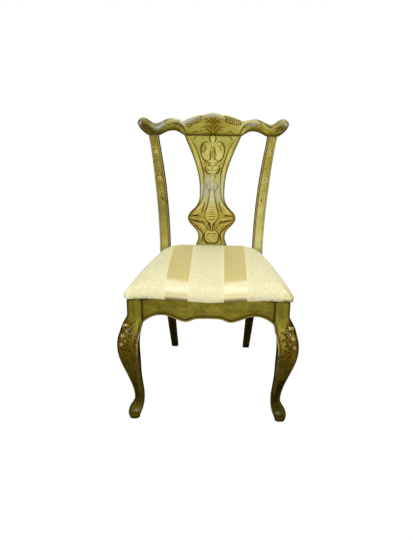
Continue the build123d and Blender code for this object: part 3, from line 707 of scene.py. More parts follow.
@dataclass(frozen=True)
class StripedDamask:
    """Woven stripe: satin bands between figured ivory ones, with fine lines beside them.

    The cloth's own map gives metres across and along it.
    """

    name: str = "striped_damask"
    repeat: float = 0.196
    satin_start: float = 0.051
    satin_width: float = 0.077
    satin: Triple = (0.395, 0.330, 0.095)
    satin_light: Triple = (0.470, 0.395, 0.140)
    ivory: Triple = (0.655, 0.625, 0.405)
    ivory_figure: Triple = (0.490, 0.450, 0.225)
    ivory_plain: Triple = (0.640, 0.600, 0.370)
    # brown of the painted shade along the hem
    dirt_and_painted_shade: Triple = (0.300, 0.230, 0.100)
    shade: Triple = (0.110, 0.072, 0.016)
    hem: float = 0.4425
    selvedge: float = -0.245
    line_width: float = 0.0012
    line_offsets: Triple = (0.0045, 0.0085, 0.0140)
    thread: float = 0.0011

    def material(self) -> Material:
        """Builds stripes, meandering figure, pin lines and weave from the cloth's map, and painted shade along
        the hem from the height.
        """
        graph = Graph(self.name)
        split = graph.add("SeparateXYZ", Vector=graph.place("UV"))
        across, along = split.outputs[0], split.outputs[1]
        phase = graph.math("FLOORED_MODULO", graph.scaled(across, 1.0, -self.satin_start), self.repeat)
        centre = graph.scaled(phase, 1.0, -self.satin_width / 2)
        other = graph.math("ABSOLUTE", graph.scaled(centre, 1.0, -self.repeat))
        reach = graph.math("MINIMUM", graph.math("ABSOLUTE", centre), other)
        half = self.satin_width / 2
        in_satin = graph.band(reach, half + 0.0006, half - 0.0006)
        in_satin = graph.math("MULTIPLY", in_satin, graph.band(across, self.selvedge, self.selvedge + 0.001))
        beside = graph.scaled(reach, 1.0, -half)
        plain = graph.math("MULTIPLY", graph.band(beside, 0.0, 0.001), graph.band(beside, 0.0150, 0.0140))
        pins = [graph.band(graph.math("ABSOLUTE", graph.scaled(beside, 1.0, -offset)), self.line_width,
                           self.line_width * 0.4) for offset in self.line_offsets]
        lines = graph.math("MAXIMUM", graph.math("MAXIMUM", pins[0], pins[1]), pins[2])
        plane = graph.add("CombineXYZ", X=across, Y=along).outputs[0]
        wander = graph.noise(105.0, 1.0, 0.4, plane)
        folded = graph.math("FRACT", graph.scaled(wander, 7.0))
        ridge = graph.math("ABSOLUTE", graph.scaled(folded, 2.0, -1.0))
        figure = graph.math("MULTIPLY", graph.band(ridge, 0.35, 0.65), graph.band(beside, 0.0145, 0.0155))
        threads = self.threads(graph, across, along)
        twist = graph.add("Mapping", Vector=plane, Scale=(900.0, 28.0, 1.0)).outputs[0]
        slub = graph.noise(1.0, 3.0, 0.6, twist)
        satin = graph.blend(slub, self.satin, self.satin_light)
        ivory = graph.blend(graph.scaled(figure, 0.9), self.ivory, self.ivory_figure)
        ivory = graph.blend(plain, ivory, self.ivory_plain)
        ivory = graph.blend(graph.scaled(lines, 0.5), ivory, self.satin)
        colour = graph.blend(in_satin, ivory, satin)
        colour = graph.blend(graph.scaled(threads, 0.10), colour, (0.35, 0.28, 0.12))
        height_up = graph.add("SeparateXYZ", Vector=graph.place()).outputs[2]
        # painted shade: browner towards the hem, and the satin darker still in its lowest band, where the cover
        # turns under
        painted_hem_shade = graph.band(height_up, self.hem + 0.012, self.hem)
        colour = graph.blend(graph.scaled(painted_hem_shade, 0.55), colour, self.dirt_and_painted_shade)
        shaded = graph.band(height_up, self.hem + 0.014, self.hem + 0.0075)
        near_hem = graph.math("MULTIPLY", in_satin, shaded)
        colour = graph.blend(graph.scaled(near_hem, 0.85), colour, self.shade)
        upright = graph.add("SeparateXYZ", Vector=graph.add("NewGeometry").outputs["Normal"]).outputs[2]
        turned = graph.band(upright, 0.9990, 0.9350)
        rolled = graph.math("MULTIPLY", in_satin, turned)
        rolled = graph.math("MULTIPLY", rolled, graph.scaled(near_hem, -0.85, 1.0))
        lustre = graph.math("ADD", graph.scaled(rolled, 0.52), graph.scaled(turned, 0.12))
        rough = graph.scaled(in_satin, -0.20, 0.62)
        height = graph.math("ADD", graph.scaled(figure, 0.8), graph.scaled(lines, -0.6))
        height = graph.math("SUBTRACT", height, graph.scaled(in_satin, 0.8))
        normal = graph.bumped(height, 0.0005, 0.5)
        normal = graph.bumped(threads, 0.00012, 0.35, normal)
        return graph.finish(
            Base_Color=colour, Roughness=rough, Normal=normal,
            Specular_IOR_Level=graph.scaled(rolled, 0.60, 0.10),
            Coat_Weight=lustre, Coat_Roughness=0.38, Coat_IOR=2.0,
            Sheen_Weight=0.06, Sheen_Roughness=0.45,
        )

    def threads(self, graph: Graph, across: object, along: object) -> Socket:
        """Over and under of the weave: the product of two sine waves a thread apart."""
        warp, weft = (graph.math("SINE", graph.scaled(way, TURN / self.thread)) for way in (across, along))
        return graph.scaled(graph.math("MULTIPLY", warp, weft), 0.5, 0.5)


@dataclass(frozen=True)
class PlainWood:
    """Unfinished wood with grain along one axis."""

    name: str
    pale: Triple
    dark: Triple
    grain: Triple = (8.0, 110.0, 110.0)

    def material(self) -> Material:
        """Builds the grain from noise stretched along the wood."""
        graph = Graph(self.name)
        where = graph.stretched(self.grain)
        grain = graph.noise(1.0, 5.0, 0.65, where)
        pores = graph.noise(3.0, 2.0, 0.5, where)
        colour = graph.ramp(grain, ((0.30, self.dark), (0.70, self.pale)))
        colour = graph.blend(graph.band(pores, 0.62, 0.72), colour, self.dark)
        normal = graph.bumped(grain, 0.0004, 0.5)
        return graph.finish(Base_Color=colour, Roughness=graph.scaled(grain, 0.2, 0.55), Normal=normal)


@dataclass(frozen=True)
class PlatedSteel:
    """Zinc-plated steel with fine turning marks."""

    name: str = "plated_steel"
    colour: Triple = (0.55, 0.53, 0.47)

    def material(self) -> Material:
        """Builds the metal, slightly uneven in its shine."""
        graph = Graph(self.name)
        stain = graph.noise(220.0, 3.0, 0.6)
        colour = graph.blend(graph.band(stain, 0.45, 0.75), self.colour, (0.36, 0.33, 0.27))
        return graph.finish(
            Base_Color=colour, Metallic=1.0, Roughness=graph.scaled(stain, 0.3, 0.22),
            Normal=graph.bumped(graph.noise(900.0, 2.0), 0.0001, 0.4),
        )


@dataclass(frozen=True)
class MouldedNylon:
    """Dark glide plastic, scuffed underneath."""

    name: str = "glide_nylon"
    colour: Triple = (0.055, 0.038, 0.026)

    def material(self) -> Material:
        """Builds the plastic with paler scuffs."""
        graph = Graph(self.name)
        scuff = graph.noise(1.0, 4.0, 0.7, graph.stretched((400.0, 60.0, 60.0)))
        colour = graph.blend(graph.band(scuff, 0.55, 0.75), self.colour, (0.15, 0.12, 0.10))
        return graph.finish(
            Base_Color=colour, Roughness=graph.scaled(scuff, 0.25, 0.38),
            Normal=graph.bumped(scuff, 0.0002, 0.4),
        )


@dataclass(frozen=True)
class Cambric:
    """Black dust cloth with pressed fibres."""

    name: str = "black_cambric"

    def material(self) -> Material:
        """Builds the cloth from two sizes of fibre noise."""
        graph = Graph(self.name)
        fibres = graph.noise(1.0, 4.0, 0.7, graph.stretched((260.0, 900.0, 260.0)))
        lint = graph.noise(700.0, 2.0, 0.6)
        colour = graph.ramp(fibres, ((0.3, (0.010, 0.010, 0.011)), (0.75, (0.038, 0.037, 0.036))))
        colour = graph.blend(graph.band(lint, 0.66, 0.75), colour, (0.11, 0.105, 0.10))
        return graph.finish(
            Base_Color=colour, Roughness=0.92, Sheen_Weight=0.25,
            Normal=graph.bumped(fibres, 0.0004, 0.7),
        )


@dataclass(frozen=True)
class CutFoam:
    """Cut foam with open cells."""

    name: str = "seat_foam"

    def material(self) -> Material:
        """Builds the cells from Voronoi distance."""
        graph = Graph(self.name)
        cells = graph.add("TexVoronoi", Scale=700.0, Vector=graph.place()).outputs["Distance"]
        colour = graph.ramp(cells, ((0.0, (0.55, 0.49, 0.28)), (0.6, (0.85, 0.80, 0.58))))
        return graph.finish(Base_Color=colour, Roughness=0.95, Normal=graph.bumped(cells, 0.0006, 0.8))


# ---- the chair's shared lines ---------------------------------------------
@dataclass(frozen=True)
class Lines:
    """Heights, planes and curves that the pieces share.

    y_seat is the rear posts' centre plane at the seat; distances back and
    forward are counted from it.
    """

    y_seat: float
    rail_top: float
    seam: float = 0.902
    lean: float = 0.079
    lean_start: float = 0.440
    lean_power: float = 1.5
    foot_rake: float = 0.084
    foot_start: float = 0.380
    foot_power: float = 1.6

    @classmethod
    def of_frame(cls) -> "Lines":
        """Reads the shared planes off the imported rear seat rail."""
        low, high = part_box("rear_seat_rail")
        return cls(y_seat=(low.y + high.y) / 2, rail_top=high.z)

    def back(self, up: Array) -> Array:
        """How far back the posts' centre line lies: a power of the height above or below the seat.

        Args:
            up: Heights over the floor.

        Returns:
            Places along Y.
        """
        above = np.clip((up - self.lean_start) / (self.seam - self.lean_start), 0.0, None)
        below = np.clip((self.foot_start - up) / self.foot_start, 0.0, None)
        return self.y_seat + self.lean * above**self.lean_power + self.foot_rake * below**self.foot_power

    def slope(self) -> float:
        """Lean of the back at the seam, as run over rise."""
        return self.lean * self.lean_power / (self.seam - self.lean_start)


# ---- flowers --------------------------------------------------------------
class Tint(Enum):
    """Colours of the hand-painted sprays, and the pale patches of painted highlight on the knees."""

    PETAL = (0.50, 0.37, 0.14)
    PETAL_ROSE = (0.42, 0.22, 0.08)
    EYE = (0.22, 0.055, 0.008)
    LEAF = (0.080, 0.056, 0.005)
    LEAF_DARK = (0.030, 0.020, 0.002)
    LEAF_PALE = (0.36, 0.31, 0.10)
    EARTH = (0.120, 0.055, 0.004)
    # painted highlight: pale patches for the sheen on the knees
    PAINTED_SHEEN = (0.34, 0.34, 0.26)


@dataclass
class Spray:
    """Painted flowers, leaves and dots laid on a skin.

    A petal is an oval grid whose points are set out from a place on the skin,
    in metres up and across, and lifted off it by a dome of paint.
    """

    skin: Skin
    lift: float = 0.0005
    rings: int = 4
    spokes: int = 10
    petals: int = 5
    corners: list[Array] = field(default_factory=list)
    faces: list[Array] = field(default_factory=list)
    tints: list[Array] = field(default_factory=list)
    count: int = 0

    def column_at(self, row: int, across: float, front: slice) -> float:
        """Column on the front whose point lies at a distance across the chair."""
        x = self.skin.points[row, front, 0]
        order = np.argsort(x)
        columns = np.arange(*front.indices(self.skin.points.shape[1]))
        return float(np.interp(across, x[order], columns[order]))

    def row_at(self, up: float) -> float:
        """Row whose points lie at a height."""
        heights = self.skin.points[:, :, 2].mean(axis=1)
        return float(np.interp(up, heights, np.arange(len(heights))))

    def petal(
        self, place: Pair, offset: Pair, half: Pair,
        angle: float, tint: Tint, front: slice, lift: float = 1.0,
    ) -> None:
        """Adds one oval of paint.

        Args:
            place: Across and up of the flower it belongs to, in metres.
            offset: From that place to the oval's centre, across and up.
            half: Half length and half width.
            angle: Direction of its length, in radians from across.
            tint: Its colour.
            front: Columns of the skin's face.
            lift: Thickness in units of the spray's own.
        """
        rings, spokes = self.rings, self.spokes
        ring = (np.arange(1, rings + 1) / rings)[:, None]
        turn = (np.arange(spokes) / spokes * TURN)[None, :]
        long_, short = half[0] * ring * np.cos(turn), half[1] * ring * np.sin(turn)
        x = offset[0] + long_ * np.cos(angle) - short * np.sin(angle)
        z = offset[1] + long_ * np.sin(angle) + short * np.cos(angle)
        x, z = np.append(offset[0], x), np.append(offset[1], z)
        height = np.append(1.0, np.broadcast_to(np.sqrt(1 - ring**2 * 0.98) * 0.9 - 0.25, (rings, spokes)))
        row0 = self.row_at(place[1])
        column0 = self.column_at(int(row0), place[0], front)
        beside = np.array([0.0, 1.0, 0.0]), np.array([0.0, 0.0, 1.0])
        base = self.skin.sample(row0 + beside[0], column0 + beside[1])
        per_row = np.linalg.norm(base[1] - base[0])
        per_column = np.linalg.norm(base[2] - base[0])
        rows, columns = row0 + z / per_row, column0 + x / per_column
        on_skin = self.skin.sample(rows, columns)
        step_r = self.skin.sample(rows + 0.5, columns) - self.skin.sample(rows - 0.5, columns)
        step_c = self.skin.sample(rows, columns + 0.5) - self.skin.sample(rows, columns - 0.5)
        normal = unit(np.cross(step_c, step_r))
        normal *= np.where(normal[:, 1:2] < 0.0, 1.0, -1.0)
        points = on_skin + normal * (height * self.lift * lift)[:, None]
        first = 1 + np.arange(spokes)
        second = 1 + (np.arange(spokes) + 1) % spokes
        fan = np.stack([np.zeros(spokes, int), first, second, second], axis=-1)
        inmost = np.stack([first, first + spokes, second + spokes, second], axis=-1)
        bands = [inmost + number * spokes for number in range(rings - 1)]
        self.faces.append(np.concatenate([fan, *bands]) + self.count)
        self.corners.append(points)
        self.tints.append(np.broadcast_to(np.array(tint.value), (len(points), 3)))
        self.count += len(points)

    def flower(self, place: Pair, size: float, front: slice, turn: float, tint: Tint) -> None:
        """Adds a flower: petals in a ring, each an oval pointing out, round a dark eye.

        Args:
            place: Across and up, in metres.
            size: Radius of the whole flower.
            front: Columns of the skin's face.
            turn: Angle of the first.
            tint: Colour of the petals.
        """
        for number in range(self.petals):
            angle = turn + number / self.petals * TURN
            offset = (0.62 * size * np.cos(angle), 0.62 * size * np.sin(angle))
            self.petal(place, offset, (0.44 * size, 0.36 * size), angle, tint, front)
        self.petal(place, (0.0, 0.0), (0.42 * size, 0.40 * size), 0.0, Tint.EYE, front, 1.7)

    def to_object(self, name: str, material: Material) -> Thing:
        """Makes one object of all the paint."""
        tint = np.concatenate(self.tints)
        marks = {"red": tint[:, 0], "green": tint[:, 1], "blue": tint[:, 2]}
        faces = np.concatenate(self.faces)
        fans = faces[:, 2] == faces[:, 3]
        groups = [faces[~fans], faces[fans][:, :3]]
        return made(name, np.concatenate(self.corners), groups, marks, material, 3.0)


# ---- front legs -----------------------------------------------------------
@dataclass
class FrontLeg:
    """Cabriole leg with its square block, an inner bead and a painted spray."""

    lines: Lines
    front_face: float = 0.458
    block: float = 0.050
    block_outer: float = 0.270
    plain: float = 0.050
    sole: float = 0.003
    toe_lead: float = 0.018
    toe_lead_from: float = 0.56
    rows: int = 300
    side: int = 22
    corner: int = 9
    bead_rise: float = 0.0011
    bead_half: float = 0.0026
    quirk_out: float = 0.0068
    block_rows: int = 26
    leaves: int = 190
    # share of the height under the block, outward shift, square size, corner
    # rounding: the last three in millimetres
    cabriole: Path = (
        (0.005, 9.5, 36.0, 15.0), (0.030, 9.8, 42.0, 19.0), (0.057, 7.7, 46.6, 20.5),
        (0.085, 3.9, 46.8, 18.0), (0.115, -1.8, 41.2, 15.0), (0.145, -5.5, 36.0, 12.5),
        (0.185, -7.0, 33.5, 11.0), (0.235, -5.5, 34.2, 11.0), (0.300, -1.3, 36.7, 11.5),
        (0.375, 4.7, 42.4, 12.5), (0.452, 10.7, 50.6, 13.5), (0.530, 16.0, 60.0, 15.0),
        (0.607, 20.5, 67.0, 16.0), (0.684, 23.0, 70.6, 15.0), (0.761, 22.3, 71.5, 12.0),
        (0.838, 16.4, 71.0, 8.0), (0.890, 9.2, 66.4, 5.5), (0.945, 2.6, 56.0, 4.0),
        (1.0, 0.0, 50.0, 3.0),
    )

    def skin(self) -> Skin:
        """Right leg: rounded squares carried up a diagonal sweep, with its bead and marks."""
        top = self.lines.rail_top - self.plain
        span = top - self.sole
        up = np.concatenate([np.linspace(0.0, 1.0, self.rows) * span + self.sole,
                             np.linspace(top, self.lines.rail_top, self.block_rows)[1:]])
        share = np.clip((up - self.sole) / span, 0.005, 1.0)
        shift, size, round_ = (spline(self.cabriole, share) * MM).T
        lead = self.toe_lead * ease((self.toe_lead_from - share) / self.toe_lead_from)
        section = rounded_section(size / 2, size / 2, round_, self.side, self.corner)
        centre = self.block_outer - self.block / 2
        x = centre + shift[:, None] + section[..., 0]
        forward = self.front_face - self.block / 2 + shift + lead
        y = self.lines.y_seat - forward[:, None] + section[..., 1]
        z = np.broadcast_to(up[:, None], x.shape)
        from_arris = round_distance(section, section.shape[1] - self.corner / 2)
        fade = (ease((share - 0.16) / 0.2) * ease((0.985 - share) / 0.08))[:, None]
        bead = bell(from_arris, 0.0, self.bead_half) - 0.7 * bell(np.abs(from_arris), self.quirk_out, 0.0020)
        height = fade * self.bead_rise * bead
        carved = Skin(np.stack([x, y, z], axis=-1)).lifted(height)
        carved.marks = self.marks(share[:, None], section / (size / 2)[:, None, None], from_arris, fade)
        return carved

    def marks(self, share: Array, local: Array, from_arris: Array, fade: Array) -> Marks:
        """Finish of the leg: light at its top, and dark down the shin and near black round its sides with
        painted shade; painted highlights on the foot, under the block and on the inner arris.

        Args:
            share: Share of the height under the block.
            local: Points of the section over its half size.
            from_arris: Distance round the section from the inner front corner.
            fade: How strongly the bead shows.

        Returns:
            The marks.
        """
        inner, outer = ease((-local[..., 0] - 0.78) / 0.20), ease((local[..., 0] - 0.62) / 0.36)
        rear = ease((local[..., 1] + 0.55) / 0.5)
        # the tone falls down the shin towards the floor: painted shade
        stations = (
            (0.0, 0.02), (0.035, 0.10), (0.08, 0.28), (0.13, 0.19), (0.22, 0.10), (0.40, 0.14), (0.55, 0.21),
            (0.70, 0.30), (0.80, 0.42), (0.90, 0.51), (1.0, 0.42),
        )
        body = spline(stations, share)
        # painted shade: the inner, outer and rear faces darkened near black
        painted_side_shade = inner * np.where(share > 0.985, 0.35, 1.0) + outer * 0.75 + rear * 0.6
        knee = bell(share, 0.74, 0.15)
        tone = (body - 0.12 * knee * ease((local[..., 0] + 0.35) / 0.6)) * np.clip(1 - painted_side_shade, 0, 1)
        quirk = fade * bell(np.abs(from_arris), 0.0070, 0.0026)
        spray = knee * ease((local[..., 0] + 0.25) / 0.6)
        # glaze on the sides adds to their painted shade, and the glaze at the sole is painted shade by the floor
        glaze = 0.9 * quirk + 0.70 * outer + 0.8 * inner + 1.0 * bell(share, 0.0, 0.040) + 0.38 * spray
        rub = fade * bell(from_arris, -0.0006, 0.0026) * (0.08 + 1.05 * bell(share, 0.80, 0.13))
        warmth = (0.22 + 0.95 * knee * ease((local[..., 0] + 0.5) / 0.8)) * (1 - inner) * ease(share / 0.07)
        # painted highlights through the shine mark: on the top of the foot, under the block and along the upper
        # inner arris; the same mark raises the real shine
        foot = bell(share, 0.085, 0.012) * bell(local[..., 0], -0.1, 0.35)
        gloss = (0.05 + 0.26 * foot + 0.10 * bell(share, 0.84, 0.040)) * (1 - inner) * (1 - rear)
        gloss = gloss * (1 - 0.8 * outer) + 0.15 * fade * bell(from_arris, 0.0, 0.0024) * (share > 0.5)
        return marked(tone, glaze, rub, warmth, gloss)

    def spray(self, skin: Skin, side: float) -> Spray:
        """Flowers down the outside of the knee among brushed leaves, with pale ovals of painted highlight.

        Args:
            skin: The leg that carries them.
            side: 1 on the right leg, -1 on the left.

        Returns:
            The spray.
        """
        spray = Spray(skin)
        front = slice(0, self.side + 2 * self.corner)
        random = np.random.default_rng(7 if side > 0 else 11)
        for _ in range(self.leaves):
            up = random.uniform(0.246, 0.376)
            spread = 0.009 + 0.022 * np.sin(np.pi * (up - 0.240) / 0.145)
            across = side * (0.2665 + random.normal(0.0, 0.52) * spread)
            angle = random.uniform(0.2, 2.9)
            tint = (Tint.LEAF, Tint.EARTH, Tint.LEAF_DARK, Tint.LEAF_DARK, Tint.LEAF)[random.integers(5)]
            half = (random.uniform(0.0035, 0.0080), random.uniform(0.0013, 0.0026))
            spray.petal((across, up), (0.0, 0.0), half, angle, tint, front, 0.5)
        for across, up, size, tint in (
            (0.2790, 0.361, 0.0066, Tint.PETAL), (0.2835, 0.330, 0.0062, Tint.PETAL),
            (0.2880, 0.300, 0.0064, Tint.PETAL_ROSE),
        ):
            spray.flower((side * across, up), size, front, turn=0.4 + 9 * up, tint=tint)
        # pale ovals on the knee: painted highlight
        for across, up, angle in (
            (0.262, 0.350, 0.6), (0.266, 0.338, 2.3), (0.2715, 0.343, 1.2), (0.275, 0.312, 0.9),
        ):
            place, half = (side * across, up), (0.0062, 0.0021)
            spray.petal(place, (0.0, 0.0), half, side * angle, Tint.PAINTED_SHEEN, front, 0.45)
        return spray

    def build(self, paint: Material, flowers: Material) -> None:
        """Makes both legs and their sprays."""
        right = self.skin()
        for name, side, skin in (("right", 1.0, right), ("left", -1.0, right.mirrored())):
            skin.to_object(f"front_leg_{name}_carved", paint, f"front_leg_{name}")
            self.spray(skin, side).to_object(f"knee_spray_{name}", flowers)


# ---- rear posts -----------------------------------------------------------
@dataclass
class RearPost:
    """Rear leg and stile in one, with beaded front edges and a painted vine."""

    lines: Lines
    x_foot: float = 0.152
    x_seat: float = 0.180
    x_top: float = 0.226
    flare: float = 1.95
    wide: float = 0.041
    deep: float = 0.034
    top_deep: float = 0.028
    foot: float = 0.027
    sole: float = 0.003
    crest_thick: float = 0.032
    rows: int = 340
    side: int = 16
    corner: int = 4
    ease_radius: float = 0.004
    line_in: float = 0.0065
    bead_in: float = 0.0033
    front_skin: float = 0.003
    vine_foot: float = 0.655
    vine_step: float = 0.0068
    vine_pairs: int = 34
    widths: Path = ((0.0, 1.0), (0.30, 0.985), (0.60, 0.965), (0.80, 0.89), (0.92, 0.90), (1.0, 1.04))

    def centre_x(self, up: Array) -> Array:
        """Distance of the centre line: straight below the seat, a power of the height above."""
        rise = np.clip((up - self.lines.rail_top) / (self.lines.seam - self.lines.rail_top), 0.0, None)
        below = self.x_foot + (self.x_seat - self.x_foot) * up / self.lines.rail_top
        above = self.x_seat + (self.x_top - self.x_seat) * rise**self.flare
        return np.where(up <= self.lines.rail_top, below, above)

    def skin(self, shade: float) -> Skin:
        """Right post: rounded rectangles carried up the raked lines and cut to the tilted seam.

        Args:
            shade: Painted light and shade added to the paint's tone.

        Returns:
            The closed skin.
        """
        lines = self.lines
        stile = lines.seam + self.crest_thick - lines.rail_top
        share = np.linspace(0.0, 1.0, self.rows)
        up = self.sole + share * (lines.seam - self.sole)
        taper = np.clip((lines.foot_start - up) / lines.foot_start, 0.0, 1.0)
        above = np.clip((up - lines.rail_top) / stile, 0.0, 1.0)
        leg_wide = self.wide + (self.foot - self.wide) * taper
        wide = np.where(up > lines.rail_top, self.wide * spline(self.widths, above), leg_wide)
        deep = self.deep + (self.foot - self.deep) * taper + (self.top_deep - self.deep) * above
        radius = np.full_like(up, self.ease_radius)
        section = rounded_section(wide / 2, deep / 2, radius, self.side, self.corner)
        tilt = lines.slope() * ease((up - lines.seam + 0.05) / 0.05)
        z = up[:, None] - section[..., 1] * tilt[:, None]
        x = self.centre_x(z) + section[..., 0]
        y = lines.back(up)[:, None] + section[..., 1]
        half, half_deep = wide[:, None] / 2, deep[:, None] / 2
        height = self.beads(up[:, None], section, half, half_deep)
        carved = Skin(np.stack([x, y, z], axis=-1)).lifted(height)
        carved.marks = self.marks(up[:, None], section, half, half_deep, shade)
        return carved

    def beads(self, up: Array, section: Array, half: Array, half_deep: Array) -> Array:
        """Scratched line beside each front edge of the stile, leaving a narrow bead outside it."""
        on_front = section[..., 1] < -half_deep + self.front_skin
        fade = ease((up - self.lines.rail_top - 0.03) / 0.03) * ease((self.lines.seam - 0.004 - up) / 0.02)
        line = bell(np.abs(section[..., 0]), half - self.line_in, 0.0011)
        bead = bell(np.abs(section[..., 0]), half - self.bead_in, 0.0019)
        return fade * on_front * (0.0006 * bead - 0.0009 * line)

    def marks(self, up: Array, section: Array, half: Array, deep: Array, shade: float) -> Marks:
        """Finish of the post: light by the seat, warmer above, and dark on its sides and below with painted
        shade; painted light makes the right post lighter than the left.

        Args:
            up: Heights over the floor.
            section: Points of the section about its middle.
            half: Half widths.
            deep: Half depths.
            shade: Painted light and shade added to the tone.

        Returns:
            The marks.
        """
        # the tone stays low on the leg under the seat: painted shade
        stations = ((0.0, 0.07), (0.20, 0.10), (0.38, 0.13), (0.44, 0.35), (0.48, 0.66), (0.54, 0.68),
                    (0.62, 0.62), (0.72, 0.54), (0.80, 0.55), (0.86, 0.55), (0.902, 0.50))
        stile = ease((up - 0.43) / 0.06)
        across = section[..., 0] / half
        edge, inner = ease((np.abs(across) - 0.84) / 0.16), ease((-across - 0.62) / 0.38)
        rear = ease((section[..., 1] / deep + 0.7) / 0.5)
        # painted light: the right post lighter low down and less so at the top, the left a little darker round
        # its middle
        lit, dim = shade > 0, shade < 0
        lean = 0.13 * lit - 0.16 * ease((up - 0.62) / 0.22) * lit - 0.05 * bell(up, 0.62, 0.08) * dim
        # painted shade on the edges, the inner side and the back of the post
        turned = np.clip(1 - 0.50 * edge - 0.22 * inner - 0.4 * rear, 0, 1)
        tone = (spline(stations, up) + (shade + lean) * stile) * turned
        on_front = section[..., 1] < -deep + self.front_skin
        line = stile * bell(np.abs(section[..., 0]), half - self.line_in, 0.0016) * on_front
        seam = bell(up, self.lines.seam, 0.004)
        glaze = 0.8 * line * np.where(across < 0, 1.0, 0.7) + 0.45 * edge + 0.30 * inner + 0.9 * seam
        rub = 0.5 * stile * bell(np.abs(section[..., 0]), half - self.bead_in, 0.0017)
        warmth = (0.15 + 0.22 * ease((up - 0.60) / 0.2) + 0.55 * inner + 0.35 * edge) * stile
        gloss = (0.05 + 0.10 * (1 - edge)) * stile * (1 - rear)
        return marked(tone, glaze, rub, warmth, gloss)

    def vine(self, skin: Skin, side: float) -> Spray:
        """Two flowers on a wavering stem with paired leaves and dots.

        Args:
            skin: The post that carries it.
            side: 1 on the right post, -1 on the left.

        Returns:
            The spray.
        """
        spray = Spray(skin, lift=0.0004)
        front = slice(0, self.side)
        random = np.random.default_rng(3 if side > 0 else 5)
        for number in range(self.vine_pairs):
            up = self.vine_foot + number * self.vine_step
            x = float(self.centre_x(np.array(up))) + 0.0035 * np.sin(number * 0.9)
            tint = (Tint.LEAF_PALE, Tint.LEAF, Tint.LEAF_PALE, Tint.EARTH)[number % 4]
            way = 0.9 if number % 2 else 2.2
            half = (random.uniform(0.0030, 0.0048), random.uniform(0.0011, 0.0017))
            offset = (0.0042 if number % 2 else -0.0042, 0.0)
            spray.petal((side * x, up), offset, half, way, tint, front, 0.7)
            if number % 3 == 0:
                dot = (-offset[0], 0.002)
                spray.petal((side * x, up), dot, (0.0014, 0.0014), 0.0, Tint.PETAL, front)
        for up, size in ((0.842, 0.0080), (0.747, 0.0078)):
            x = float(self.centre_x(np.array(up)))
            spray.flower((side * x, up), size, front, turn=0.2 + 7 * up, tint=Tint.PETAL)
        x = float(self.centre_x(np.array(0.668)))
        for up, aside, half, tint in (
            (0.668, 0.0, (0.0075, 0.0022), Tint.LEAF_DARK), (0.662, 0.003, (0.0060, 0.0016), Tint.PETAL),
        ):
            spray.petal((side * (x - 0.001), up), (aside, 0.0), half, 1.9, tint, front, 0.8)
        return spray

    def build(self, paint: Material, flowers: Material) -> None:
        """Makes both posts and their vines."""
        # painted light on the right post and painted shade on the left, through the tone shift given to each
        right, left = self.skin(0.10), self.skin(-0.03).mirrored()
        for name, side, skin in (("right", 1.0, right), ("left", -1.0, left)):
            skin.to_object(f"rear_post_{name}_beaded", paint, f"rear_post_{name}")
            self.vine(skin, side).to_object(f"stile_vine_{name}", flowers)


# ---- splat ----------------------------------------------------------------
# path, width, depth and glaze of each cut
SPLAT_GOUGES: Table = (
    (((88, 893), (75, 873), (64, 855), (55, 836), (48, 815), (43, 798), (37, 780), (33, 762), (32, 741),
      (31, 712), (33, 690), (37, 668), (47, 648), (59, 632), (70, 621)), 2.3, 1.7, 0.62),
    (((80, 897), (68, 878), (57, 858), (48, 838)), 1.3, 0.6, 0.25),
    (((60, 899), (71, 891), (76, 882)), 2.4, 1.2, 0.55),
    (((9, 901), (12, 891), (8, 882), (2, 876)), 2.2, 1.7, 0.75),
    (((13, 876), (27, 880), (39, 872), (44, 858), (44, 842), (40, 826), (33, 815), (23, 809), (12, 814),
      (5, 828)), 2.6, 1.8, 0.72),
    (((17, 869), (27, 861), (30, 853), (35, 844)), 2.3, 1.4, 0.60),
    (((29, 871), (38, 863)), 1.8, 1.0, 0.50),
    (((7, 852), (9, 839), (9, 828), (5, 812)), 1.8, 1.4, 0.50),
    (((36, 801), (30, 799), (27, 790), (28, 781), (24, 771), (17, 764), (6, 764), (0, 759)), 2.3, 1.9, 0.80),
    (((8, 789), (17, 795), (26, 798)), 2.0, 1.3, 0.60),
    (((6, 774), (15, 778), (23, 779)), 1.8, 1.0, 0.45),
    (((4, 800), (16, 804), (30, 803)), 1.5, 0.9, 0.40),
    (((14, 728), (22, 713), (17, 704), (11, 696)), 2.3, 1.7, 0.75),
    (((20, 706), (13, 698), (10, 686), (9, 674)), 2.2, 1.5, 0.70),
    (((9, 690), (12, 672), (16, 650), (21, 631)), 1.9, 1.4, 0.55),
    (((22, 650), (18, 641), (23, 630), (31, 618), (35, 606)), 2.2, 1.6, 0.65),
    (((36, 654), (30, 656), (28, 646), (31, 634), (38, 622), (41, 609)), 2.4, 1.4, 0.55),
    (((45, 664), (50, 650), (58, 637), (69, 622)), 3.6, 1.2, 0.50),
    (((82, 602), (64, 604), (46, 606)), 2.4, 1.7, 0.75),
    (((28, 596), (17, 583), (8, 574), (5, 560), (3, 545)), 2.1, 1.5, 0.55),
    (((84, 590), (71, 586), (58, 580), (38, 573)), 2.2, 1.6, 0.70),
    (((70, 572), (58, 562), (49, 552), (37, 542), (32, 528), (37, 512), (44, 497)), 2.6, 1.9, 0.85),
    (((37, 575), (23, 562), (8, 548)), 1.9, 1.4, 0.60),
    (((31, 583), (28, 571)), 1.7, 1.2, 0.50),
    (((24, 583), (19, 566), (12, 551)), 1.9, 1.3, 0.55),
    (((15, 582), (11, 570), (9, 559)), 1.8, 1.2, 0.50),
    (((19, 545), (27, 535), (28, 518), (22, 503), (10, 496), (0, 500)), 2.5, 1.9, 0.85),
    (((0, 533), (10, 535), (17, 529)), 1.6, 1.0, 0.45),
)
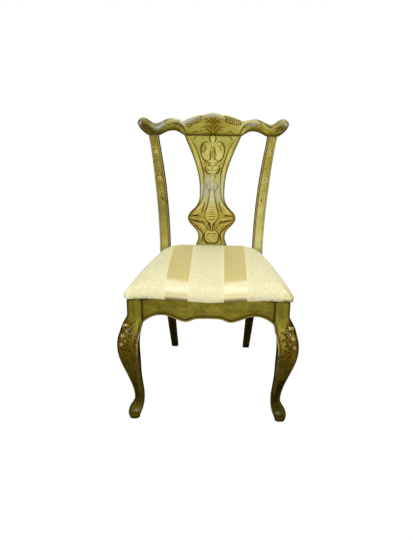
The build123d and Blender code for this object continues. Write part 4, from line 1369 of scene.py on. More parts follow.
# path, width and glaze of the brown laid round the carving, and whether on both sides; it is partly glaze wiped
# into the carving and partly painted shade, heavier on the left petal
SPLAT_SHADES: tuple[tuple[Path, float, float, bool], ...] = (
    (((-22, 876), (-38, 866), (-41, 850), (-36, 836)), 9.0, 0.75, False),
    (((25, 876), (38, 866), (42, 850)), 5.5, 0.45, False),
    (((-20, 862), (-28, 850), (-33, 838)), 5.0, 0.50, False),
    (((0, 858), (0, 812)), 7.5, 0.42, True),
    (((12, 812), (28, 806), (36, 800)), 6.5, 0.42, True),
    (((8, 770), (20, 776), (24, 790)), 7.0, 0.45, True),
    (((36, 600), (56, 597), (78, 599)), 5.0, 0.42, True),
    (((30, 575), (48, 583), (66, 588)), 6.5, 0.45, True),
    (((16, 574), (8, 556)), 6.0, 0.40, True),
    (((50, 553), (62, 566), (80, 582)), 6.0, 0.45, True),
    (((34, 650), (44, 630), (60, 615)), 5.0, 0.36, True),
    (((30, 535), (30, 515), (40, 498)), 6.0, 0.45, True),
    (((84, 893), (70, 866), (58, 840), (48, 800)), 5.0, 0.30, True),
)


@dataclass
class Splat:
    """Vase splat with its carved front."""

    lines: Lines
    shoe_top: float = 0.475
    thick: float = 0.012
    rows: int = 380
    front: int = 178
    rear: int = 34
    edge: int = 6
    shoulder: float = 0.0022
    # share of the height from shoe to crest, half width in millimetres
    outline: Path = (
        (0.0, 66.0), (0.045, 57.5), (0.080, 52.5), (0.120, 51.5), (0.165, 58.5),
        (0.203, 73.0), (0.245, 87.5), (0.284, 92.0), (0.316, 87.0), (0.350, 74.0),
        (0.387, 59.5), (0.435, 49.5), (0.48, 47.2), (0.55, 47.5), (0.62, 50.0),
        (0.69, 56.0), (0.76, 65.0), (0.83, 76.5), (0.90, 89.0), (0.96, 101.0), (1.0, 108.0),
    )

    def masses(self) -> Carving:
        """Raised forms from the top down: bud, petals, cup, knot, husk, horned leaves and plaque."""
        bead, leaf = Form.BEAD, Form.LEAF
        husk = ((543, 1.6), (552, 2.6), (566, 4.6), (580, 12), (588, 22), (598, 25), (612, 24), (630, 20),
                (651, 15), (675, 10.5), (696, 7.5), (704, 6))
        return (
            Boss((0, 889), (9, 16), 2.6), Boss((26, 844), (18, 33), 1.7, tilt=-8, fullness=0.35),
            Stroke(((15, 871), (27, 874), (37, 866), (40, 851), (39, 836), (34, 822), (24, 815), (13, 819)),
                   4.2, 2.6, bead, 0.4, 0.4),
            Stroke(((0, 864), (0, 835), (0, 800)), 7.0, 3.2, leaf, 0.15, 0.7),
            Stroke(((2, 766), (12, 778), (22, 789), (35, 803)), 10.0, 3.0, leaf, 0.4, 0.15, 2.5),
            Stroke(((1, 764), (10, 768), (20, 778), (25, 792)), 5.5, 3.0, bead, 0.4, 0.2),
            Stroke(((3, 809), (17, 809), (38, 804)), 4.5, 2.4, leaf, 0.5, 0.15),
            Stroke(((0, 759), (1, 744), (-1, 730)), 6.5, 2.3, bead, 0.5, 0.7, twin=False),
            Boss((0, 714), (18, 14), 2.6),
            Stroke(((23, 709), (16, 701), (11, 690), (10, 676)), 3.0, 1.6, bead),
            Husk(husk, 3.4),
            Stroke(((21, 656), (25, 638), (31, 621), (34, 604)), 4.0, 1.8, bead, 0.3, 0.3),
            Stroke(((35, 652), (45, 636), (58, 620), (78, 609)), 11.0, 2.8, leaf, 0.3, 0.1, 2),
            Stroke(((28, 584), (44, 590), (62, 594), (84, 597)), 7.5, 2.8, leaf, 0.5, 0.15, 5),
            Stroke(((14, 556), (34, 565), (52, 573), (72, 578)), 8.0, 2.8, leaf, 0.35, 0.15, 5),
            Stroke(((27, 588), (19, 572), (9, 551)), 7.0, 2.6, leaf, 0.3, 0.15, 3),
            Stroke(((38, 553), (31, 540), (29, 522), (33, 505), (40, 492)), 3.6, 1.5, bead, 0.4, 0.4),
            Boss((0, 522), (19, 18), 1.3, fullness=0.25),
            Stroke(((0, 538), (10, 541), (20, 535), (23, 521), (18, 507), (9, 502), (3, 508), (0, 510)),
                   3.8, 2.9, bead, 0.9, 0.9),
        )

    def cuts(self) -> Carving:
        """Gouge cuts, heavy with glaze: borders, outlines, leaf veins, the husk's rings and the hatching, broad
        brown strokes that are partly painted shade, and a dark teardrop and a dark line left of the husk that
        are painted shade.
        """
        rows = gouged(SPLAT_GOUGES, 1.55, 1.1, 0.30, 0.82)
        for top_x, top_z, low_x, low_z in (
            (44, 593, 35, 579), (54, 592, 46, 580), (64, 591, 57, 583), (75, 590, 69, 585),
            (58, 570, 50, 561), (51, 571, 40, 560), (45, 558, 36, 550), (66, 575, 57, 568),
        ):
            rows.append(Stroke(((top_x, top_z), (low_x, low_z)), 2.0, -1.5, ink=0.65))
        for number, (up, half) in enumerate(
            ((654, 8), (645, 10), (636, 13), (627, 15), (619, 18), (611, 20), (602, 22), (590, 19))
        ):
            ring = ((-half, up + 3), (0, up - 1), (half, up + 3))
            rows.append(Stroke(ring, 2.1, -0.6 - 0.2 * number, twin=False, ink=0.30 + 0.09 * number))
        for number in range(5):
            up = 724 - 5 * number
            rows.append(Stroke(((15 - number, up + 3), (8, up - 2), (0, up - 5)), 1.5, -1.5, ink=0.75))
        # painted shadow: a dark teardrop to the right of the centre leaf
        rows.append(Stroke(((-4, 863), (4, 856), (8, 848), (12, 837)), 2.8, -2.2, twin=False, ink=0.95))
        rows.append(Stroke(((8, 758), (11, 750), (10, 742)), 2.3, -1.6, twin=False, ink=0.95))
        # broad brown strokes: glaze, and painted shade where they are one-sided and heavier on the left
        rows += [Stroke(path, width, -0.25, twin=twin, ink=ink) for path, width, ink, twin in SPLAT_SHADES]
        # painted shade: a dark line left of the husk
        rows.append(Stroke(((-24, 648), (-19, 640), (-24, 629), (-32, 617)), 2.2, -1.0, twin=False, ink=0.85))
        rows.append(Stroke(((47, 602), (60, 604), (82, 601)), 2.2, -1.2, twin=False, ink=0.95))
        return tuple(rows)

    def half(self, up: Array) -> Array:
        """Half width of the splat at a height."""
        return spline(self.outline, (up - self.shoe_top) / (self.lines.seam - self.shoe_top)) * MM

    def border(self, across: Array, up: Array, half: Array) -> Array:
        """Soft roundness of the strip outside the border groove: a share of the way to the edge, arched.

        Args:
            across: Distance from the centre line.
            up: Height over the floor.
            half: Half width at that height.

        Returns:
            Heights.
        """
        stations = ((0.60, 66), (0.62, 66), (0.648, 47), (0.668, 37), (0.69, 33), (0.712, 31), (0.741, 32),
                    (0.762, 33), (0.798, 43), (0.836, 55), (0.873, 75), (0.902, 92))
        groove = spline(stations, np.maximum(up, 0.60)) * MM
        share = np.clip((np.abs(across) - groove) / np.maximum(half - groove, 0.004), 0.0, 1.0)
        return 0.0018 * np.sin(np.pi * share) ** 0.8 * ease((up - 0.622) / 0.02)

    def skin(self) -> Skin:
        """Closed skin: the carved front, rounded edges and a plain back that follow the lean."""
        lines = self.lines
        up = np.linspace(self.shoe_top, lines.seam, self.rows)
        half = self.half(up)[:, None]
        across = half * np.linspace(-1.0, 1.0, self.front)
        height, ink = carve(self.masses() + self.cuts(), across, np.broadcast_to(up[:, None], across.shape))
        height = height + self.border(across, up[:, None], half)
        from_edge = half - np.abs(across)
        height = height * ease(from_edge / 0.0035)
        shoulder = self.shoulder * (1 - ease(from_edge / 0.0040))
        depth = self.thick / 2 + height - shoulder
        turn = np.linspace(0.0, np.pi, self.edge + 2)[1:-1]
        side_x = half + 0.0006 * np.sin(turn)
        side_y = -np.cos(turn) * (self.thick / 2 - self.shoulder) * np.ones_like(half)
        back_x = half * np.linspace(1.0, -1.0, self.rear)
        back_y = np.full_like(back_x, self.thick / 2)
        x = np.concatenate([across, side_x, back_x, -side_x], axis=1)
        y = np.concatenate([-depth, side_y, back_y, -side_y], axis=1)
        tilt = lines.slope() * ease((up - lines.seam + 0.02) / 0.02)[:, None]
        z = up[:, None] - y * tilt
        skin = Skin(np.stack([x, y + lines.back(up)[:, None], z], axis=-1))
        skin.marks = self.marks(up[:, None], half, height, ink, x)
        return skin

    def marks(self, up: Array, half: Array, height: Array, ink: Array, x: Array) -> Marks:
        """Finish of the splat: light in its middle, brown in its cuts, dark along its edges, with painted shade
        on its upper left and a painted highlight across its waist.

        Args:
            up: Heights over the floor.
            half: Half widths.
            height: Carved height of the front.
            ink: Glaze of the front's cuts.
            x: Places across of all columns.

        Returns:
            The marks.
        """
        full, cut, crept = (np.zeros_like(x) for _ in range(3))
        full[:, : self.front], cut[:, : self.front], crept[:, : self.front] = height, ink, halo(ink, 7)
        broad = hollow(full, 8, 0.0020)
        edge = ease((np.abs(x) / half - 0.80) / 0.20)
        low, waist = bell(up, 0.590, 0.055), bell(up, 0.705, 0.050)
        stations = (
            (0.475, 0.68), (0.53, 0.76), (0.60, 0.80), (0.66, 0.79), (0.72, 0.76), (0.80, 0.78),
            (0.902, 0.80),
        )
        tone = spline(stations, up) * (1 - 0.50 * edge) + 48.0 * np.clip(full, -0.001, 0.003)
        # painted shade: the upper left of the splat a little darker; the crept glaze darkens round the cuts
        tone = tone - 0.06 * (x < 0) * bell(up, 0.85, 0.07) - 0.13 * crept
        seam = bell(up, self.lines.seam, 0.002)
        glaze = 0.72 * cut + 0.36 * broad + 0.28 * edge + 0.22 * crept + 0.8 * seam
        rub = hollow(-full, 3, 0.0010)
        warmth = 0.10 + 0.75 * low + 0.55 * broad + 0.25 * edge + 0.95 * crept
        rear = (np.arange(x.shape[1]) >= self.front)[None, :]
        # shine and a painted highlight of pale silver across the waist
        gloss = (0.06 + 0.62 * waist * (1 - rear)) * (1 - 0.8 * edge) * (1 - 0.6 * crept)
        tone, glaze = np.where(rear, 0.40, tone), np.where(rear, 0.15, glaze)
        return marked(tone, glaze, rub * 0.55, np.clip(warmth, 0, 1), gloss)

    def build(self, paint: Material) -> None:
        """Makes the splat."""
        self.skin().to_object("back_splat_carved", paint, "back_splat", 0.9)


# ---- crest ----------------------------------------------------------------
# path, width, depth and glaze of each cut
CREST_GOUGES: Table = (
    (((3, 903), (14, 917), (34, 931), (49, 925)), 2.2, 1.6, 0.55),
    (((2, 922), (13, 934), (28, 940)), 2.2, 1.6, 0.60),
    (((3, 942), (16, 954), (34, 958)), 2.2, 1.6, 0.60),
    (((4, 953), (13, 967), (30, 974)), 2.0, 1.4, 0.45),
    (((4, 912), (4, 936), (3, 960)), 1.6, 1.2, 0.50),
    (((10, 916), (24, 922), (38, 920)), 1.6, 1.1, 0.45),
    (((7, 931), (17, 933), (27, 931)), 1.5, 1.1, 0.45),
    (((8, 948), (19, 950), (30, 947)), 1.5, 1.1, 0.45),
    (((5, 962), (10, 974), (16, 984)), 1.6, 1.3, 0.45),
    (((45, 952), (56, 947), (73, 945), (86, 940), (103, 943)), 2.0, 1.4, 0.50),
    (((101, 905), (104, 914), (112, 927), (122, 938), (137, 943)), 2.5, 1.9, 0.75),
    (((91, 905), (98, 916), (109, 930), (119, 940)), 1.6, 1.0, 0.40),
    (((150, 934), (142, 934), (138, 940), (147, 943), (156, 941)), 2.2, 1.5, 0.55),
    (((166, 953), (178, 951), (183, 942), (174, 937)), 2.0, 1.6, 0.65),
    (((199, 951), (199, 942), (208, 934), (224, 930)), 2.0, 1.5, 0.60),
    (((120, 958), (140, 961), (160, 959), (180, 952)), 1.6, 0.9, 0.35),
    (((224, 934), (240, 944), (256, 954)), 2.0, 0.7, 0.22),
    (((229, 927), (246, 930), (262, 940), (271, 949)), 3.0, 1.0, 0.36),
    (((232, 916), (246, 920), (262, 928), (276, 943)), 3.0, 0.9, 0.34),
    (((53, 912), (67, 915), (80, 906)), 2.2, 1.3, 0.55),
    (((207, 914), (216, 912), (226, 914)), 2.0, 1.0, 0.35),
)


@dataclass
class Crest:
    """Crest rail with rolled ears, a central plume and gouged shoulders."""

    lines: Lines
    thick: float = 0.032
    ear_thick: float = 0.024
    half_length: float = 0.288
    post_x: float = 0.226
    post_wide: float = 0.041
    splat_half: float = 0.108
    tip_round: float = 0.010
    roll: float = 0.0135
    rows: int = 441
    front: int = 84
    over: int = 30
    rear: int = 24
    under: int = 12
    # over the splat, the gap, the post and the ear: share of the span, upper
    # and lower edge over the seam in millimetres
    over_splat: Path = (
        (0.0, 82.5, 0.0), (0.08, 82.2, 0.0), (0.16, 80.0, 0.0), (0.26, 76.0, 0.0), (0.42, 74.0, 0.0),
        (0.60, 70.5, 0.0), (0.75, 65.0, 0.0), (0.89, 59.5, 0.0),
    )
    over_gap: Path = (
        (0.0, 55.5, 0.0), (0.12, 53.3, 6.0), (0.24, 57.0, 13.0), (0.38, 59.5, 17.3),
        (0.54, 60.3, 17.3), (0.70, 58.0, 13.3), (0.86, 51.0, 6.0),
    )
    over_post: Path = ((0.0, 44.5, 0.0), (0.38, 42.0, 0.0), (0.72, 47.5, 0.0))
    over_ear: Path = (
        (0.0, 55.5, 0.0), (0.22, 60.0, 3.5), (0.45, 62.3, 10.5), (0.68, 60.5, 19.0),
        (0.86, 56.0, 28.0), (0.97, 50.5, 35.5), (1.0, 47.5, 38.5),
    )

    def stations(self) -> Array:
        """Distance from the middle, upper and lower edge over the seam, in metres, from the lists."""
        inner, outer = self.post_x - self.post_wide / 2, self.post_x + self.post_wide / 2
        bounds = (0.0, self.splat_half, inner, outer, self.half_length)
        lists = (self.over_splat, self.over_gap, self.over_post, self.over_ear)
        return np.array([
            (start + share * (end - start), high * MM, low * MM)
            for start, end, items in zip(bounds, bounds[1:], lists) for share, high, low in items
        ])

    def edges(self, x: Array) -> tuple[Array, Array]:
        """Upper and lower edge over the seam at a distance from the middle, in metres.

        The upper edge is one spline; the lower edge is held on the seam over
        the splat and the posts.
        """
        upper, lower = spline(mirrored_rows(self.stations()), x).T
        distance = np.abs(x)
        inner, outer = self.post_x - self.post_wide / 2, self.post_x + self.post_wide / 2
        held = (distance <= self.splat_half) | ((distance >= inner) & (distance <= outer))
        return upper, np.where(held, 0.0, np.maximum(lower, 0.0))

    def masses(self) -> Carving:
        """Raised forms: plume, gouged shoulder roll, scrolls over the arches and the ears' curl."""
        bead, leaf = Form.BEAD, Form.LEAF
        return (
            Stroke(((0, 906), (0, 935), (0, 962)), 3.6, 2.4, bead, 0.4, 0.6),
            Stroke(((2, 907), (11, 919), (26, 926), (40, 926), (49, 917)), 6.0, 2.8, leaf, 0.3, 0.15, 2),
            Stroke(((2, 921), (8, 931), (18, 937), (31, 936)), 5.4, 2.8, leaf, 0.3, 0.15, 2),
            Stroke(((2, 937), (8, 948), (20, 955), (34, 952)), 5.6, 2.8, leaf, 0.3, 0.15, 2),
            Stroke(((3, 951), (12, 963), (26, 969), (40, 966)), 5.2, 2.6, leaf, 0.3, 0.15, 2),
            Stroke(((0, 958), (0, 986)), 4.6, 3.2, leaf, 0.4, 0.4),
            Stroke(((3, 958), (8, 972), (12, 985)), 4.6, 3.0, leaf, 0.3, 0.4),
            Stroke(((6, 959), (16, 971), (23, 981)), 4.6, 3.0, leaf, 0.3, 0.4),
            Stroke(((44, 962), (64, 957), (84, 951), (101, 947)), 9.0, 2.2, bead, 0.5, 0.4),
            Stroke(((97, 912), (108, 930), (122, 945), (142, 951)), 7.0, 1.8, bead, 0.3, 0.3),
            Stroke(((118, 947), (135, 952), (150, 952), (170, 948), (190, 938), (207, 929), (224, 925)),
                   8.0, 2.8, bead, 0.4, 0.4),
            Stroke(((164, 932), (174, 934), (180, 940), (176, 947), (168, 947)), 3.2, 1.9, bead, 0.3, 0.4),
            Stroke(((110, 905), (122, 922), (136, 931), (150, 934)), 5.0, 1.5, bead, 0.4, 0.3),
            Stroke(((222, 926), (238, 934), (254, 945), (270, 957)), 9.0, 2.6, bead, 0.4, 0.7),
            Stroke(((240, 909), (256, 919), (270, 932), (279, 946)), 5.0, 1.8, bead, 0.4, 0.5),
        )

    def cuts(self) -> Carving:
        """Gouge cuts: the plume's veins, the shoulders' row of gouges, the arches' lines and the ears'."""
        rows = gouged(CREST_GOUGES, 1.25, 1.0, 0.35, 1.15)
        for number in range(8):
            x, top = 41 + 7.8 * number, 972 - 1.7 * number
            rows.append(Stroke(((x, top), (x + 6, top - 8), (x + 9, top - 19)), 3.4, -2.4, start=0.4, end=0.7,
                               ink=0.80 - 0.03 * number))
        slip = ((-102, 937), (-94, 931), (-88, 931), (-83, 937), (-72, 936))
        rows.append(Stroke(slip, 2.2, -1.2, twin=False, ink=1.0))
        for path, width, depth in (
            (((-45, 915), (-42, 913)), 2.4, 1.0), (((-173, 935), (-169, 933)), 2.6, 1.4),
        ):
            rows.append(Stroke(path, width, -depth, start=1.0, end=1.0, twin=False, ink=0.95))
        for x in (45, 75, 84):
            rows.append(Stroke(((x, 965 - x / 12), (x + 7, 948 - x / 20)), 2.0, -0.4, twin=False, ink=0.85))
        return tuple(rows)

    def skin(self) -> Skin:
        """Closed skin: rows run from ear to ear, columns round a section rolled back at its top."""
        ends = 1 - np.cos(np.linspace(0.0, np.pi, self.rows))
        even = np.linspace(0.0, 2.0, self.rows)
        x = (0.22 * ends + 0.78 * even - 1.0) * self.half_length
        upper, lower = self.edges(x)
        outer = self.post_x + self.post_wide / 2
        ear = np.clip((np.abs(x) - outer) / (self.half_length - outer), 0.0, 1.0)
        thick = self.thick + (self.ear_thick - self.thick) * ear
        past = np.clip((np.abs(x) - self.half_length + self.tip_round) / self.tip_round, 0, 1)
        tip = 0.25 + 0.75 * np.sqrt(np.clip(1 - past**2, 0.0, 1.0))
        middle = (upper + lower) / 2
        tall = (upper - lower) * (0.55 + 0.45 * tip)
        half_t, half_h = thick * tip / 2, tall / 2
        roll = np.minimum(self.roll, 0.47 * tall)
        foot = np.minimum(0.0025 + 0.011 * ease((np.abs(x) - self.post_x - 0.018) / 0.02), 0.40 * tall)
        back_roll = np.minimum(np.minimum(roll * 0.85, thick * tip * 0.45), roll)
        front_roll = np.minimum(roll, thick * tip * 0.52)
        t, h = self.section(half_t, half_h, front_roll, back_roll, np.minimum(foot, thick * tip * 0.4))
        h = h + middle[:, None]
        height, ink = self.relief(x, t, h, half_t, middle, half_h)
        skin = Skin(self.placed(x, t, h)).lifted(height)
        upper, lower, depth = upper[:, None], lower[:, None], t / half_t[:, None]
        skin.marks = self.marks(x[:, None], h, depth, upper, lower, height, ink)
        return skin

    def section(
        self, half_t: Array, half_h: Array, front_roll: Array, back_roll: Array, foot: Array
    ) -> tuple[Array, Array]:
        """Round each section: up the front, over the rolled top, down the back and under.

        Args:
            half_t: Half thickness of each row.
            half_h: Half height.
            front_roll: Radius at the front's top.
            back_roll: Radius at the back's top.
            foot: Radius at the lower edges.

        Returns:
            Distance back from the section's middle, and up from it, rows by columns.
        """
        t, h, fr, br, ft = (v[:, None] for v in (half_t, half_h, front_roll, back_roll, foot))
        up_front, down = np.linspace(0.0, 1.0, self.front), np.linspace(0.0, 1.0, self.rear)[1:]
        arc = np.linspace(0.0, np.pi / 2, self.over // 2 + 1)[1:]
        low_arc = np.linspace(0.0, np.pi / 2, self.under // 2 + 1)[1:]
        parts_t = [
            -t * np.ones_like(up_front), -t + fr - fr * np.cos(arc), t - br + br * np.sin(arc),
            t * np.ones_like(down), t - ft + ft * np.cos(low_arc), -t + ft - ft * np.sin(low_arc),
        ]
        parts_h = [
            -h + ft + (2 * h - ft - fr) * up_front, (h - fr) + fr * np.sin(arc), (h - br) + br * np.cos(arc),
            (h - br) - (2 * h - br - ft) * down, -h + ft - ft * np.sin(low_arc),
            -h + ft - ft * np.cos(low_arc),
        ]
        return np.concatenate(parts_t, axis=1), np.concatenate(parts_h, axis=1)

    def placed(self, x: Array, t: Array, h: Array) -> Array:
        """Section points on the crest's leaning plane over the seam."""
        slope = self.lines.slope()
        length = np.hypot(1.0, slope)
        y = self.lines.y_seat + self.lines.lean + (t + h * slope * length) / length
        z = self.lines.seam + h - t * slope / length
        return np.stack([np.broadcast_to(x[:, None], t.shape), y, z], axis=-1)

    def relief(
        self, x: Array, t: Array, h: Array, half_t: Array, middle: Array, half_h: Array
    ) -> tuple[Array, Array]:
        """Carved height and glaze on the front and the front of the roll, gone before the back."""
        on_front = ease((0.35 - t / half_t[:, None]) / 0.5)
        from_low = h - (middle - half_h)[:, None]
        across = np.broadcast_to(x[:, None], t.shape)
        height, ink = carve(self.masses() + self.cuts(), across, self.lines.seam + h)
        rim = ease(from_low / 0.004) * ease((self.half_length - np.abs(across)) / 0.012)
        return height * on_front * rim, ink * on_front

    def marks(
        self, x: Array, h: Array, depth: Array, upper: Array, lower: Array, height: Array, ink: Array
    ) -> Marks:
        """Finish of the crest: mid tone on its face, shining on its roll with painted highlights there, dark at
        ears and edges; painted shade on its left and under the ears, painted light on its right shoulder and
        along its top.

        Args:
            x: Distances from the middle.
            h: Heights over the seam.
            depth: Places back from the middle over the half thickness.
            upper: Upper edge over the seam.
            lower: Lower edge over the seam.
            height: Carved height.
            ink: Glaze of the cuts.

        Returns:
            The marks.
        """
        near_low, crept = bell(h - lower, 0.0, 0.007), halo(ink)
        near_top = ease((h - upper + 0.026) / 0.014)
        broad = hollow(height, 7, 0.0020)
        away = np.abs(x)
        ear, over_post = ease((away - 0.222) / 0.04), ease((away - 0.165) / 0.03)
        arch = ease((away - 0.105) / 0.02) * (1 - ear)
        plume = bell(away, 0.0, 0.036) * (1 - ease((h - 0.062) / 0.02))
        left, raised = x < 0, np.clip(height, -0.001, 0.003)
        # painted shade: the left ear, arch and post top darker than the right
        face = 0.65 - (0.22 + 0.06 * left) * ear - (0.20 + 0.05 * left) * arch
        face = face - 0.10 * over_post * left - 0.26 * near_low
        tone = face + 45.0 * raised * (1 - 1.3 * plume) - 0.18 * (depth > 0.6) - 0.12 * crept
        # painted shade under the ears, and a little painted light along the top
        tone = tone - 0.24 * ear * bell(h - lower, 0.0, 0.018) + 0.05 * near_top * (1 - ear)
        # painted light: a lighter patch on the right shoulder
        tone = tone + 0.08 * bell(away, 0.205, 0.030) * (x > 0) * (1 - near_low)
        glaze = 0.85 * ink + 0.40 * broad + 0.45 * near_low + 0.20 * ear * (1 - near_top)
        rub = hollow(-height, 3, 0.0010) * (0.5 - 0.5 * plume)
        tone, glaze = tone - 0.07 * plume, glaze + 0.25 * near_top * over_post + 0.10 * plume
        warmth = 0.08 + 0.75 * plume + 0.40 * broad + 0.12 * over_post + 0.7 * crept
        # painted highlights through the shine mark: pale spots on the plume, the left shoulder, the ridges and
        # the ears; the same mark raises the real shine
        crown, ridge = ease((h - upper + 0.022) / 0.010), bell(h - upper, -0.018, 0.009)
        shine_and_painted_sheen_spots = 0.50 * bell(x, -0.095, 0.036) + 0.55 * bell(x, 0.003, 0.024)
        gloss = 0.06 + 0.12 * near_top + crown * shine_and_painted_sheen_spots
        for middle, width, share in (
            (-0.280, 0.009, 0.5), (-0.203, 0.022, 0.7), (0.147, 0.022, 0.5), (0.272, 0.014, 0.5),
        ):
            gloss = gloss + share * ridge * bell(x, middle, width)
        return marked(tone, glaze + 0.2 * crept, rub, np.clip(warmth, 0, 1), gloss)

    def build(self, paint: Material) -> None:
        """Makes the crest."""
        self.skin().to_object("crest_rail_carved", paint, "crest_rail", 1.0)


# ---- seat frame -----------------------------------------------------------
@dataclass
class SeatFrame:
    """Serpentine apron, side and rear rails, and the splat's shoe."""

    lines: Lines
    front_face: float = 0.458
    half: float = 0.220
    back_of_rail: float = 0.420
    swell: float = 0.005
    dip: float = 0.016
    end: float = 0.002
    dip_x: float = 0.155
    quirk: float = 0.0083
    edge_zone: float = 0.016
    edge_round: float = 0.0016
    clear: float = 0.0001
    side_outer: float = 0.267
    side_thick: float = 0.025
    side_arch: float = 0.068
    side_deep: float = 0.080
    post_x: float = 0.180
    post_wide: float = 0.041
    rail_in: float = 0.004
    rail_ahead: float = 0.017
    # lower edge: share of the half length, depth below the top in millimetres
    edge: Path = (
        (0.0, 59.5), (0.135, 61.0), (0.205, 64.5), (0.26, 70.5), (0.33, 76.5), (0.38, 77.0),
        (0.44, 74.0), (0.51, 69.5), (0.60, 62.5), (0.68, 59.0), (0.76, 58.5), (0.83, 61.0), (0.90, 67.0),
        (0.96, 75.0), (1.0, 81.5),
    )
    pits: Path = (
        (-0.083, 0.020), (-0.076, 0.016), (-0.071, 0.021), (-0.068, 0.015), (0.004, 0.030), (-0.165, 0.017),
    )

    def serpentine(self, x: Array, half: float, proud: float = 0.0) -> Array:
        """How far forward the rail's face lies from the posts' plane, as a spline across the chair.

        Args:
            x: Across.
            half: Half length of the curve.
            proud: How far outside the face it runs.

        Returns:
            Distances.
        """
        middle, low, end = (self.front_face + part + proud for part in (self.swell, -self.dip, -self.end))
        right = ((0.0, middle), (self.dip_x / 2, (middle + low) / 2), (self.dip_x, low), (half, end))
        return spline(mirrored_rows(right), x)

    def depth(self, x: Array) -> Array:
        """Depth of the apron's lower edge under the rail's top."""
        return spline(mirrored_rows(self.edge), x / self.half) * MM

    def apron(self) -> Skin:
        """Closed skin of the front rail, with a bead and two quirks along its lower edge."""
        x = np.linspace(-self.half, self.half, 320)
        face, deep = self.serpentine(x, self.half)[:, None], self.depth(x)[:, None]
        slope = np.gradient(deep[:, 0], x)[:, None]
        squash = np.sqrt(1 + slope**2)
        zone = self.edge_zone
        walk = np.concatenate([np.linspace(0.0, zone, 26), np.linspace(zone, 1.0, 26)[1:]])[None, :]
        from_edge = np.where(walk <= zone, walk, zone + (walk - zone) / (1 - zone) * (deep - zone))
        normal = from_edge / squash
        bead = 0.0021 * np.sqrt(np.clip(1 - ((normal - 0.0038) / 0.0030) ** 2, 0, 1))
        quirk = 0.0012 * bell(normal, self.quirk, 0.0012)
        round_ = self.edge_round * (1 - ease(normal / 0.0012))
        hollow_face = 0.0010 * bell(normal, 0.0200, 0.0090)
        height = (bead - quirk - hollow_face) * ease((deep - from_edge) / 0.01)
        front_y = face + height - round_
        front_z = self.lines.rail_top - deep + from_edge
        back, rail_top = self.back_of_rail, self.lines.rail_top
        top_y = face + (back - face) * np.linspace(0.0, 1.0, 10)[1:]
        down_z = rail_top - deep * np.linspace(0.0, 1.0, 14)[1:]
        under_y = back + (face - self.edge_round - back) * np.linspace(0.0, 1.0, 10)[1:-1]
        under_z = (rail_top - deep) * np.ones_like(under_y)
        y = np.concatenate([front_y, top_y, np.full_like(down_z, back), under_y], axis=1)
        z = np.concatenate([front_z, np.full_like(top_y, rail_top), down_z, under_z], axis=1)
        skin = Skin(np.stack([np.broadcast_to(x[:, None], y.shape), self.lines.y_seat - y, z], axis=-1))
        skin.marks = self.apron_marks(x[:, None], normal, deep - from_edge, y.shape)
        return skin

    def apron_marks(self, x: Array, normal: Array, below: Array, shape: tuple[int, int]) -> Marks:
        """Finish of the apron: mottled face, rubbed bead between dark lines, dark ends, a top darkened by
        painted shade under the cushion, and a left half a little darker, also painted shade.
        """
        front = normal.shape[1]
        away = np.abs(x)
        ends = ease((away / self.half - 0.965) / 0.035)
        tone, glaze, rub = (np.zeros(shape) for _ in range(3))
        # the left half a little darker: painted shade
        tone[:, :front] = 0.455 - 0.05 * ease((away - 0.05) / 0.14) - 0.04 * (x < 0) - 0.25 * ends
        tone[:, front:] = 0.12
        quirks = 0.85 * bell(normal, self.quirk, 0.0018) + 0.9 * bell(normal, 0.0002, 0.0010)
        # painted shade along the top of the face, under the cushion
        painted_shade_under_cushion = 0.30 * bell(below, 0.0, 0.004)
        pits = sum(bell(x, at, 0.0018) * bell(below, deep, 0.0016) for at, deep in self.pits)
        glaze[:, :front] = quirks + 0.40 * bell(normal, 0.0125, 0.008) + painted_shade_under_cushion + 0.9 * ends + 1.5 * pits
        rub[:, :front] = 0.30 * bell(normal, 0.0042, 0.0014)
        warmth = np.full(shape, 0.28)
        warmth[:, :front] += 0.7 * bell(normal, 0.0040, 0.0040)
        return marked(tone, glaze, rub, warmth, 0.09)

    def plank(self, front: Array, rear: Array, thick: float, depth_middle: float, depth_end: float) -> Skin:
        """Straight rail between two points of its outer face, with eased edges and an arched foot.

        Args:
            front: First end of the outer face, across and along.
            rear: Other end.
            thick: Thickness, towards the middle of the chair.
            depth_middle: Depth at its middle.
            depth_end: Depth at its ends.

        Returns:
            The closed skin.
        """
        walk = np.linspace(0.0, 1.0, 90)
        arch = depth_end - (depth_end - depth_middle) * np.sin(np.pi * walk)
        run = rear - front
        side = np.array([-run[1], run[0]]) / np.linalg.norm(run)
        if side @ (front + rear) > 0:
            side = -side
        section = rounded_section(np.full(90, thick / 2), arch / 2, np.full(90, 0.002), 10, 3)
        base = front[None, :] + run[None, :] * walk[:, None]
        inward = section[..., 0] + thick / 2
        x = base[:, 0, None] + side[0] * inward
        y = base[:, 1, None] + side[1] * inward
        z = self.lines.rail_top - arch[:, None] / 2 + section[..., 1]
        skin = Skin(np.stack([x, y, z], axis=-1))
        low = ease((self.lines.rail_top - z - depth_middle * 0.75) / 0.02)
        edge = bell(self.lines.rail_top - z, arch[:, None], 0.004)
        ends = bell(walk[:, None], 0.0, 0.03) + bell(walk[:, None], 1.0, 0.03)
        skin.marks = marked(0.42 - 0.14 * low, 0.5 * edge + 0.5 * ends, 0.4 * edge, 0.30, 0.07)
        return skin

